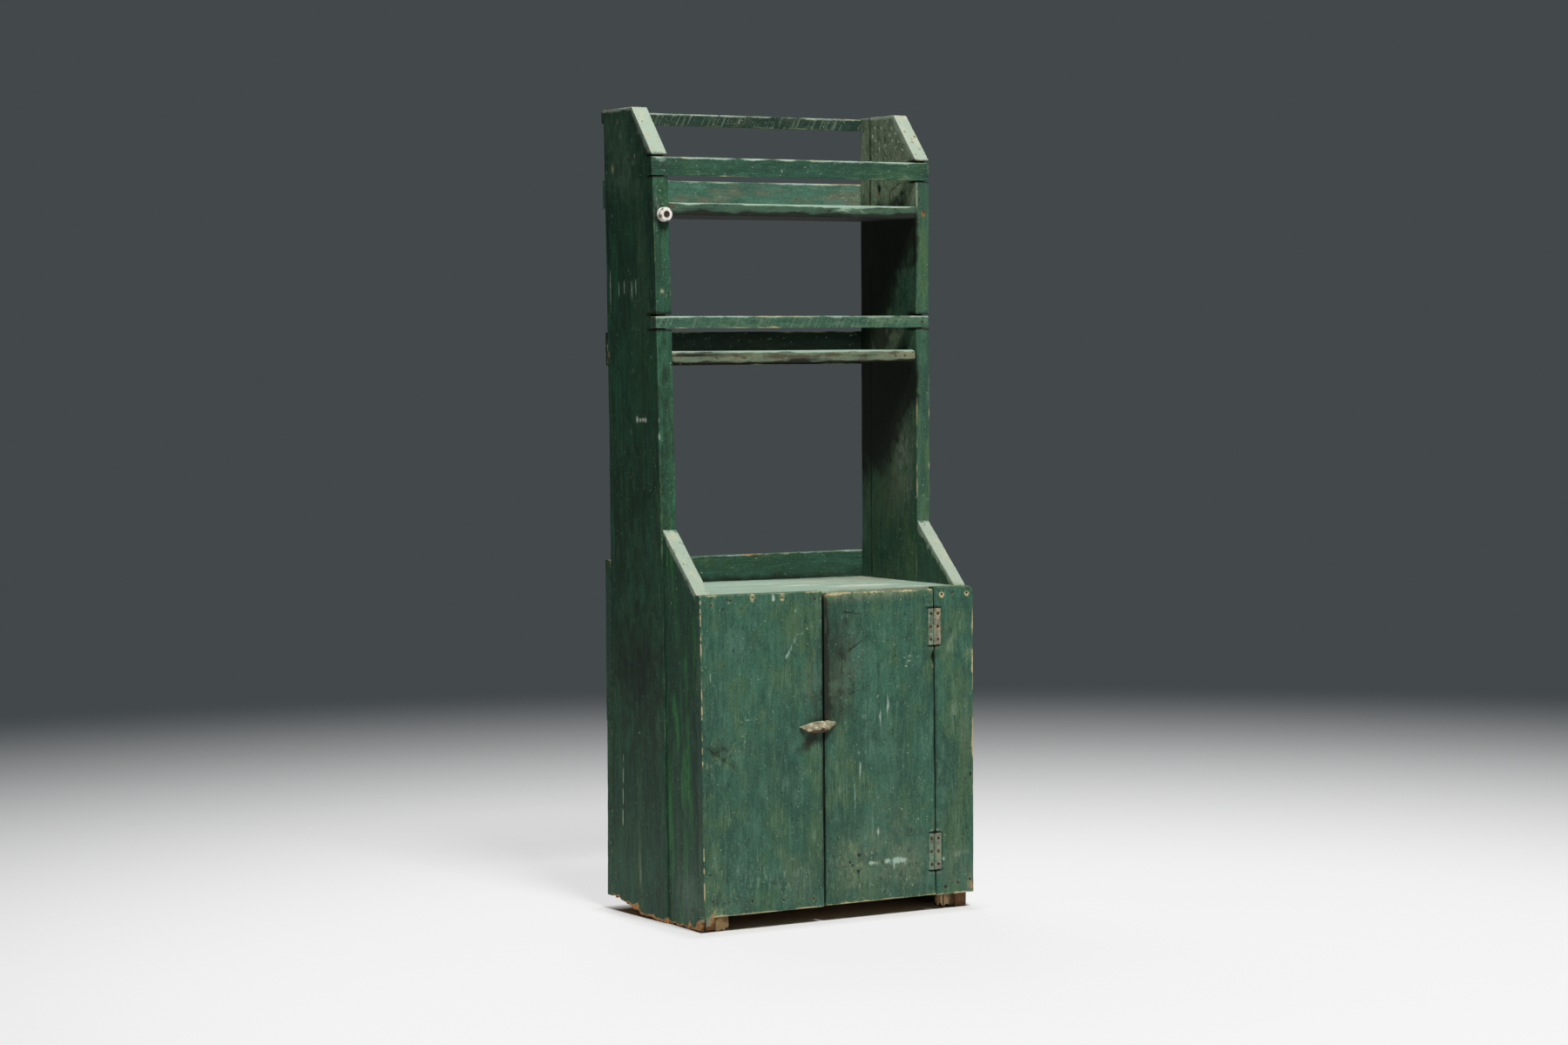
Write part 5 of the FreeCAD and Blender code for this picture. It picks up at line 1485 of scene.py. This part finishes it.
# Old screw holes near the door's foot
DOOR_HOLES = ((52.3, 132.3), (31.3, 119), (37, 112.3), (51.2, 99.2))
DOOR_MARKS = blots(1, FRONT, 6, {
    "grime": ((-21.7, 425, 3, 3, 1.3), (140, 215, 12, 30, 0.34), (150, 420, 30, 60, 0.12)),
    "bare": ((-21.7, 425, 5, 6, 0.9),),
    "pale": (
        (123, 115, 7, 6, 0.9), (146, 114.6, 10, 7, 1.0), (161.8, 115, 6, 5, 0.8),
        (138, 104, 3, 9, 0.9), (81, 115, 5, 5, 0.9), (90, 114, 8, 3.5, 0.7),
        (140, 114, 36, 9, 0.4), (104, 128, 3, 14, 0.4), (-8.4, 125, 16, 18, 0.32),
        (114, 56, 13, 9, 0.42), (125, 436, 3.4, 24, 0.85), (106, 418, 3, 14, 0.7),
        (69, 422, 8, 7, 0.5), (43.5, 255, 3, 34, 0.75), (56.6, 314, 3, 22, 0.75),
        (100, 179, 3.4, 11, 0.95), (161.6, 312, 4, 18, 0.35), (104, 380, 9, 90, 0.28),
        (88, 200, 4, 60, 0.3),
    ),
    "wear": ((30, 130, 50, 70, 0.38), (170, 90, 50, 50, 0.3)),
    "dust": ((40, 110, 80, 80, 0.6), (180, 110, 70, 80, 0.6), (110, 250, 60, 90, 0.3)),
    "olive": (
        (30, 140, 60, 70, 0.4), (160, 130, 60, 80, 0.45), (100, 560, 50, 70, 0.5),
        (140, 400, 40, 100, 0.5),
    ),
}) + blots(1, FRONT, 12, {
    "grime": (
        (door_low[0], 590, 9, 110, 0.95), (door_low[0], 450, 7, 70, 0.9), (6, 610, 52, 80, 0.4),
        (-4, 520, 44, 80, 0.46), (-10, 430, 46, 46, 0.5), (door_low[0], 250, 4, 180, 0.6),
        (door_high[0], 360, 3, 320, 0.5),
    ),
    "dust": ((0, 470, 44, 60, 0.35), (22, 560, 46, 110, 0.45)),
}) + [
    ("pale", (door_low[0] + 3, FRONT, 616), (2.4, 10, 22), 1.2),
    ("wear", (door_low[0], FRONT, 655), (9, 10, 24), 0.8),
    ("wear", (-10, FRONT, 676), (30, 10, 8), 0.45),
    ("dent", (-21.7, FRONT, 425), (2.6, 5, 2.6), 2.0), ("dent", (238, FRONT, 536), (5, 9, 10), 5),
    ("grime", (238, FRONT, 536), (4.5, 9, 10), 1.3), ("bare", (237, FRONT, 515), (2.6, 9, 9), 0.6),
    ("dent", (18, FRONT, 430), (3, 5, 9), 0.7), ("dust", (90, FRONT, 674), (150, 8, 13), 0.85),
] + strokes(1, FRONT, [
    ("pale", (x, z), (x + run, z + 3), 2.0, 0.42) for x, z, run in (
        (165, 537, 7), (176, 539, 7), (172, 528, 9), (168, 519, 6), (197, 536, 4),
    )
] + [
    ("grime", (20, 640), (75, 632), 1.6, 0.35), ("grime", (30, 560), (88, 592), 1.6, 0.35),
    ("grime", (30, 470), (85, 486), 1.6, 0.35),
]) + blots(1, FRONT, 5, {
    "dent": [(x, z, 2.2, 2.2, 2.4) for x, z in DOOR_HOLES],
}) + blots(1, FRONT, 6, {
    "grime": [(x, z, 2.6, 2.6, 1.8) for x, z in DOOR_HOLES],
})


def make_door():
    green = milk_paint("brushed_green")
    tilt = mm(sizes().gap_slant)
    boxes = mortise_boxes(door_low, "door")
    size = (door_high - door_low)[[2, 0, 1]]
    board(
        "door_board", size,
        ((3.6, fine_rows([z for _, z in DOOR_HOLES], door_low[2]),
          sorted({edge for box in boxes for edge in box[:2]})),
         (3.4, fine_rows([-21.7] + [x for x, _ in DOOR_HOLES], door_low[0]),
          sorted({box[2] for box in boxes})), 5),
        front_place(door_low, door_high, lambda y, z: door_low[0] + slant(z, tilt * 0.6),
                    lambda y, z: door_high[0] + slant(z, tilt)),
        green, 42, body="door", marks=DOOR_MARKS + mortise_marks("door"),
        recess=recess_of(boxes),
        soft=lambda flat: 3.2 * np.exp(-(((flat[:, 0] - size[0]) / 9) ** 2)),
        dress=worn_ends(3.0, 7.5, 0.55, 0.5, 0.3, (), ((70, 60, 90, 0.2), (60, 220, 70, 0.22))),
    )


def coat(node, material):
    """Gives a CAD node this material."""
    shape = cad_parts[node]
    if shape.material_slots:
        for held in shape.material_slots:
            held.material = material
    else:
        shape.data.materials.append(material)


def make_hinges():
    rust = rusted_iron()
    for level, left, right in (("upper", "#7b8e78", "#9a8f70"), ("lower", "#6a8b74", "#798b6e")):
        door_leaf = painted_iron(f"{level}_door_leaf_painted_iron", left, "#55624f")
        stile_leaf = painted_iron(f"{level}_stile_leaf_painted_iron", right, "#66685a")
        coat(f"{level}_hinge_door_leaf", door_leaf)
        coat(f"{level}_hinge_stile_leaf", stile_leaf)
        coat(f"{level}_hinge_pin", rust)
    coat("door_leaf_screws", rust)
    coat("stile_leaf_screws", rust)


def make_turn_button():
    """The button, cut finer and softened so that its knife facets and rubbed edges show."""
    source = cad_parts["turn_button"]
    work = source.copy()
    work.data = source.data.copy()
    bpy.context.scene.collection.objects.link(work)
    remesh = work.modifiers.new("fine", "REMESH")
    remesh.mode = "VOXEL"
    remesh.voxel_size = 0.8 * MM
    smooth = work.modifiers.new("soft", "SMOOTH")
    smooth.iterations = 4
    graph = bpy.context.evaluated_depsgraph_get()
    shape = work.evaluated_get(graph).to_mesh()
    points = np.empty(len(shape.vertices) * 3)
    normals = np.empty(len(shape.vertices) * 3)
    shape.vertices.foreach_get("co", points)
    shape.vertices.foreach_get("normal", normals)
    faces = [list(p.vertices) for p in shape.polygons]
    points = points.reshape(-1, 3) / MM
    normals = normals.reshape(-1, 3)
    bpy.data.objects.remove(work)
    hollow = np.maximum(noise(points, (14, 9, 5), 51, 3), -0.1) * 0.55 + 0.06
    pivot = np.array([sum(c[i] for c in corners("turn_button_nail")) / 2 for i in range(3)])
    points = points - normals * hollow[:, None] * (np.abs(normals[:, 1]) < 0.98)[:, None]
    # The faces that look down turn brown: painted shade.
    lower = np.clip(-normals[:, 2] * 1.6, 0, 1)
    near_nail = np.exp(-(((points - pivot)[:, [0, 2]] / 7) ** 2).sum(1))
    looks = {
        "bare": lower, "grime": near_nail * 0.6, "grain_mm": points + 5000.0,
    }
    new_piece("whittled_turn_button", points, faces, carved_wood(), "turn_button",
              ["turn_button"], looks, sharp=60)
    coat("turn_button_nail", rusted_iron())


# Outline of the knob: (radius, distance off the board)
KNOB_PROFILE = (
    (2.6, 0), (13.9, 0), (14.8, 0.5), (15, 1.6), (15, 3.5), (14.4, 4.5), (12.9, 5.2), (12.1, 5.9),
    (12, 6.5), (12.1, 7.1), (12.9, 7.8), (14.4, 8.5), (15, 9.6), (15, 11.5), (14.7, 13),
    (13.8, 14.6), (12.4, 15.6), (10.5, 16), (8, 16), (6, 16), (5.3, 15.8), (5.0, 15.2),
    (5.0, 13.2), (2.6, 13),
)
KNOB_SIDES = 72


def make_knob():
    low, high = corners("porcelain_knob")
    centre = (low + high) / 2
    turn = np.arange(KNOB_SIDES) * 2 * math.pi / KNOB_SIDES
    points = []
    for radius, out in KNOB_PROFILE:
        lean = 1 + 0.004 * np.cos(turn * 2 + out)
        points.append(stacked(centre[0] + radius * lean * np.cos(turn) * 0.995,
                              high[1] - out, centre[2] + radius * lean * np.sin(turn) * 0.995))
    rings = len(points)
    faces = []
    for ring in range(rings):
        after = (ring + 1) % rings
        for side in range(KNOB_SIDES):
            beside = (side + 1) % KNOB_SIDES
            faces.append([ring * KNOB_SIDES + side, ring * KNOB_SIDES + beside,
                          after * KNOB_SIDES + beside, after * KNOB_SIDES + side])
    points = np.concatenate(points)
    faces = outward_faces(points, np.array(faces))
    radius, out = (np.repeat(column, KNOB_SIDES) for column in np.array(KNOB_PROFILE).T)
    across, up = points[:, 0] - centre[0], points[:, 2] - centre[2]
    chips = [(-9, 11, 3.5), (2, -14, 3.5), (-14, -4, 4), (11, 9, 2.5)]
    looks = {
        "grime": 1.4 * (radius < 6.5) * (out > 8) + 0.75 * np.exp(-((out - 6.5) / 1.6) ** 2),
        "bare": (out > 8) * sum(
            np.exp(-((across - a) ** 2 + (up - b) ** 2) / r ** 2) for a, b, r in chips
        ),
        "grain_mm": points,
    }
    new_piece("turned_porcelain_knob", points, faces, glazed_porcelain(), "carcass",
              ["porcelain_knob"], looks, sharp=50)
    coat("knob_screw", rusted_iron())


# Nails: (radius, depth) from the head's middle to the point
HEAD_RINGS = (
    (0, 0.25), (1.3, 0.15), (2.4, 0.3), (3.1, 0.7), (3.4, 1.3), (1.7, 1.6), (1.5, 12), (0.6, 24),
)
HEAD_SIDES = 14


def nail_mesh(spots):
    """Points and faces of nails, each a spot (x, y, z, the way it was driven)."""
    points, faces = [], []
    for number, (x, y, z, way) in enumerate(spots):
        way = np.array(way, float)
        side = np.cross(way, (0, 0, 1)) if abs(way[2]) < 0.5 else np.array([1.0, 0, 0])
        up = np.cross(side, way)
        turn = np.arange(HEAD_SIDES) * 2 * math.pi / HEAD_SIDES
        start = len(points)
        for radius, depth in HEAD_RINGS:
            wobble = 1 + 0.10 * np.sin(turn * 2 + number) + 0.05 * np.sin(turn * 5 + 3 * number)
            for angle, scale in zip(turn, wobble):
                spread = radius * (scale if radius > 2 else 1)
                points.append(np.array([x, y, z]) + way * depth + spread * (
                    math.cos(angle) * side + math.sin(angle) * up))
        rings = len(HEAD_RINGS)
        for ring in range(rings - 1):
            for k in range(HEAD_SIDES):
                after = (k + 1) % HEAD_SIDES
                a = start + ring * HEAD_SIDES
                faces.append([a + k, a + after, a + HEAD_SIDES + after, a + HEAD_SIDES + k])
        end = start + (rings - 1) * HEAD_SIDES
        faces.append([end + k for k in range(HEAD_SIDES)])
    return np.array(points), faces


FRONT_SIDE_NAIL = -123.3
NAIL_FROM_EDGE = 14.0


def make_nails():
    rust = rusted_iron()
    painted = painted_iron("painted_nail_iron", "#3d6350", "#2b4a39")
    lines = [sum(corner[2] for corner in corners(node)) / 2
             for node in ("top_shelf", "middle_shelf", "counter_top", "case_bottom")]
    rows = [RACK_FRONT + (SIDE_BACK - RACK_FRONT) * share for share in (0.2, 0.88)]
    left, right = [], []
    for level, z in enumerate(lines):
        # The counter and the bottom are nailed through the thinner front boards too.
        for y in rows + ([FRONT_SIDE_NAIL] if level > 1 else []):
            inset = FRONT_SIDE_INSET if y == FRONT_SIDE_NAIL else 0
            left.append((left_face(y, z) + inset, y, z, (1, 0, 0)))
            right.append((RIGHT - inset, y, z, (-1, 0, 0)))
    groups = {
        "front_panel_nails": [(x, FRONT + 0.7, z, (0, 1, 0)) for x, z, _ in PANEL_NAILS],
        "stile_nails": [(x, FRONT + 0.7, z, (0, 1, 0)) for x, z, _ in STILE_NAILS],
        "left_side_nails": left,
        "right_side_nails": right,
        "rail_nails": [
            (x, corners(rail)[0][1], sum(c[2] for c in corners(rail)) / 2, (0, 1, 0))
            for rail in ("top_front_rail", "middle_front_rail") for x in (-310, 322)
        ],
        "left_edge_nails": [(-312.4, RACK_FRONT - 0.7, z, (0, 1, 0)) for z in (1523, 1489, 1296)],
    }
    for node, names in (
        ("rack_back_nails", ("top_back_rail", "upper_back_board", "middle_back_board")),
        ("case_back_nails", ("case_back_upper_board", "case_back_narrow_board",
                             "case_back_middle_board", "case_back_lower_board")),
    ):
        groups[node] = []
        for name in names:
            low, high = corners(name)
            for share in (0.2, 0.84):
                z = high[2] - (high[2] - low[2]) * share
                for x in (left_face(high[1], z) + NAIL_FROM_EDGE, RIGHT - NAIL_FROM_EDGE):
                    groups[node].append((x, high[1], z, (0, -1, 0)))
    for node, spots in groups.items():
        points, faces = nail_mesh(spots)
        iron = painted if node == "left_edge_nails" else rust
        new_piece(f"driven_{node}", points, faces, iron, "carcass", [node], sharp=50)
    coat("batten_nails", rust)


# Stage: the camera stands where the photographer stood
CAMERA_PLACE = (-3859.56, -6397.34, 1204.14)
CAMERA_YAW, CAMERA_PITCH, CAMERA_ROLL = 0.542, -0.0518, -0.0054
SENSOR = 36.0
FOCAL_PIXELS, PHOTO_WIDTH = 4087.73, 1800


def make_camera():
    camera = added("camera", bpy.data.cameras.new("camera"))
    yaw, pitch = CAMERA_YAW, CAMERA_PITCH
    forward = Vector((
        math.sin(yaw) * math.cos(pitch), math.cos(yaw) * math.cos(pitch), math.sin(pitch),
    ))
    right = Vector((math.cos(yaw), -math.sin(yaw), 0))
    up = right.cross(forward)
    c, s = math.cos(CAMERA_ROLL), math.sin(CAMERA_ROLL)
    turn = Matrix((c * right + s * up, -s * right + c * up, -forward)).transposed()
    camera.matrix_world = Matrix.Translation(Vector(CAMERA_PLACE) * MM) @ turn.to_4x4()
    camera.data.sensor_width = SENSOR
    camera.data.lens = FOCAL_PIXELS / PHOTO_WIDTH * SENSOR
    camera.data.clip_end = 60
    bpy.context.scene.camera = camera


# The stage is in metres.
CABINET_MIDDLE = (0, 0, 0.85)
CABINET_HALF = (0.3385, 0.2, 0)
POOL_MIDDLE = (-0.07, -1.03, 0)
FLOOR_REACH = 14.0


def lamp(name, place, size, power):
    """A square soft light that shines at the middle of the cabinet."""
    light = bpy.data.lights.new(name, "AREA")
    light.size = size
    light.energy = power
    thing = added(name, light)
    thing.location = place
    aim = Vector(CABINET_MIDDLE) - Vector(place)
    thing.rotation_euler = aim.to_track_quat("-Z", "Y").to_euler()


def shown(tree, output, factor, first, second):
    """Sends two shaders mixed by a factor to the tree's output."""
    mixed = add_node(tree, "ShaderNodeMixShader", None, {0: factor, 1: first, 2: second})
    tree.links.new(mixed.outputs[0], tree.nodes[output].inputs["Surface"])


def make_floor(stage):
    """A pool of pale floor round the cabinet, which darkens to the backdrop's grey some metres
    out. To the eye the pool is evenly pale, with the cabinet's shadow deepest under and beside
    it."""
    mesh = bpy.data.meshes.new("floor")
    end = FLOOR_REACH
    mesh.from_pydata([(-end, -end, 0), (end, -end, 0), (end, end, 0), (-end, end, 0)],
                     [], [(0, 1, 2, 3)])
    floor = added("floor", mesh)
    material = bpy.data.materials.new("pale_painted_floor")
    material.use_nodes = True
    tree = material.node_tree
    shader = tree.nodes["Principled BSDF"]
    shader.inputs["Roughness"].default_value = 0.85
    shader.inputs["Specular IOR Level"].default_value = 0.1
    place = add_node(tree, "ShaderNodeTexCoord").outputs["Object"]
    away = measured(tree, "DISTANCE", place, POOL_MIDDLE).outputs["Value"]
    fade = rising(tree, away, stage.pool_reach, stage.pool_end)
    ground = blended(tree, fade, stage.floor, stage.backdrop)
    tree.links.new(ground, shader.inputs["Base Color"])
    beside = measured(tree, "ABSOLUTE", place).outputs[0]
    beside = measured(tree, "SUBTRACT", beside, CABINET_HALF).outputs[0]
    beside = measured(tree, "MAXIMUM", beside).outputs[0]
    beside = measured(tree, "LENGTH", beside).outputs["Value"]
    share = calculated(tree, "MAXIMUM", fade, rising(tree, beside, 0.0, 0.05, 0.75))
    path = add_node(tree, "ShaderNodeLightPath").outputs["Is Camera Ray"]
    pool = blended(tree, fade, stage.pool, stage.backdrop)
    glow = add_node(tree, "ShaderNodeEmission", None, {"Color": pool, "Strength": 1.0})
    shown(tree, "Material Output", calculated(tree, "MULTIPLY", share, path),
          shader.outputs[0], glow.outputs[0])
    mesh.materials.append(material)


def make_backdrop(stage):
    """Faint white light from all round, seen by the camera as the backdrop's grey."""
    world = bpy.data.worlds.new("studio")
    bpy.context.scene.world = world
    world.use_nodes = True
    tree = world.node_tree
    ambient = tree.nodes["Background"]
    ambient.inputs["Color"].default_value = (1, 1, 1, 1)
    ambient.inputs["Strength"].default_value = stage.ambient
    path = add_node(tree, "ShaderNodeLightPath").outputs
    seen = calculated(tree, "MAXIMUM", path["Is Camera Ray"], path["Is Transmission Ray"])
    grey = add_node(
        tree, "ShaderNodeBackground", None, {"Color": stage.backdrop, "Strength": 1.0}
    )
    shown(tree, "World Output", seen, ambient.outputs[0], grey.outputs[0])


def make_stage():
    stage = bpy.context.scene.cabinet_stage
    make_floor(stage)
    make_backdrop(stage)
    lamp("key_softbox", (-0.75, -5.1, 8.3), 1.9, stage.key_power)
    lamp("rear_softbox", (0.8, 4.2, 6.5), 3.4, stage.rear_power)
    make_camera()
    bpy.context.scene.view_settings.view_transform = "Standard"


class CABINET_OT_side_boards(bpy.types.Operator):
    """Make the five side boards"""
    bl_idname = "cabinet.side_boards"
    bl_label = "Side Boards"

    def execute(self, context):
        make_side_boards()
        return {"FINISHED"}


class CABINET_OT_shelves(bpy.types.Operator):
    """Make the two rack shelves and the counter"""
    bl_idname = "cabinet.shelves"
    bl_label = "Shelves and Counter"

    def execute(self, context):
        make_shelves()
        return {"FINISHED"}


class CABINET_OT_rails_and_backs(bpy.types.Operator):
    """Make the front rails and all back boards"""
    bl_idname = "cabinet.rails_and_backs"
    bl_label = "Rails and Back Boards"

    def execute(self, context):
        make_rails_and_backs()
        return {"FINISHED"}


class CABINET_OT_inner_framing(bpy.types.Operator):
    """Make the bottom, inner shelf, battens and cleats"""
    bl_idname = "cabinet.inner_framing"
    bl_label = "Inner Framing"

    def execute(self, context):
        make_inner_framing()
        return {"FINISHED"}


class CABINET_OT_fixed_fronts(bpy.types.Operator):
    """Make the fixed front panel and the right stile"""
    bl_idname = "cabinet.fixed_fronts"
    bl_label = "Fixed Front Boards"

    def execute(self, context):
        make_fixed_fronts()
        return {"FINISHED"}


class CABINET_OT_door(bpy.types.Operator):
    """Make the plank door"""
    bl_idname = "cabinet.door"
    bl_label = "Door"

    def execute(self, context):
        make_door()
        return {"FINISHED"}


class CABINET_OT_hinges(bpy.types.Operator):
    """Finish the hinges and their screws"""
    bl_idname = "cabinet.hinges"
    bl_label = "Hinges"

    def execute(self, context):
        make_hinges()
        return {"FINISHED"}


class CABINET_OT_turn_button(bpy.types.Operator):
    """Make the turn button and finish its nail"""
    bl_idname = "cabinet.turn_button"
    bl_label = "Turn Button"

    def execute(self, context):
        make_turn_button()
        return {"FINISHED"}


class CABINET_OT_knob(bpy.types.Operator):
    """Make the porcelain knob"""
    bl_idname = "cabinet.knob"
    bl_label = "Porcelain Knob"

    def execute(self, context):
        make_knob()
        return {"FINISHED"}


class CABINET_OT_nails(bpy.types.Operator):
    """Drive the nails"""
    bl_idname = "cabinet.nails"
    bl_label = "Nails"

    def execute(self, context):
        make_nails()
        return {"FINISHED"}


class CABINET_OT_stage(bpy.types.Operator):
    """Set the floor, backdrop, lights and camera"""
    bl_idname = "cabinet.stage"
    bl_label = "Stage"

    def execute(self, context):
        make_stage()
        return {"FINISHED"}


OPERATORS = (
    CABINET_OT_side_boards, CABINET_OT_shelves, CABINET_OT_rails_and_backs,
    CABINET_OT_inner_framing, CABINET_OT_fixed_fronts, CABINET_OT_door, CABINET_OT_hinges,
    CABINET_OT_turn_button, CABINET_OT_knob, CABINET_OT_nails, CABINET_OT_stage,
)
SETTINGS = {
    "cabinet_sizes": CabinetSizes,
    "cabinet_colours": CabinetColours,
    "cabinet_stage": CabinetStage,
}


class CABINET_PT_pieces(bpy.types.Panel):
    """The cabinet's settings and pieces"""
    bl_idname = "CABINET_PT_pieces"
    bl_label = "Storage Cabinet"
    bl_space_type = "VIEW_3D"
    bl_region_type = "UI"
    bl_category = "Cabinet"

    def draw(self, context):
        for holder in SETTINGS:
            group = getattr(context.scene, holder)
            box = self.layout.box()
            for key in group.bl_rna.properties.keys():
                if key not in ("rna_type", "name"):
                    box.prop(group, key)
        for operator in OPERATORS:
            self.layout.operator(operator.bl_idname)


CLASSES = tuple(SETTINGS.values()) + OPERATORS + (CABINET_PT_pieces,)


def register():
    for each in CLASSES:
        bpy.utils.register_class(each)
    for holder, group in SETTINGS.items():
        setattr(bpy.types.Scene, holder, bpy.props.PointerProperty(type=group))


def unregister():
    for holder in SETTINGS:
        delattr(bpy.types.Scene, holder)
    for each in reversed(CLASSES):
        bpy.utils.unregister_class(each)


def main():
    register()
    for operator in OPERATORS:
        group, action = operator.bl_idname.split(".")
        getattr(getattr(bpy.ops, group), action)()
    bpy.context.view_layer.update()


if __name__ == "__main__":
    main()
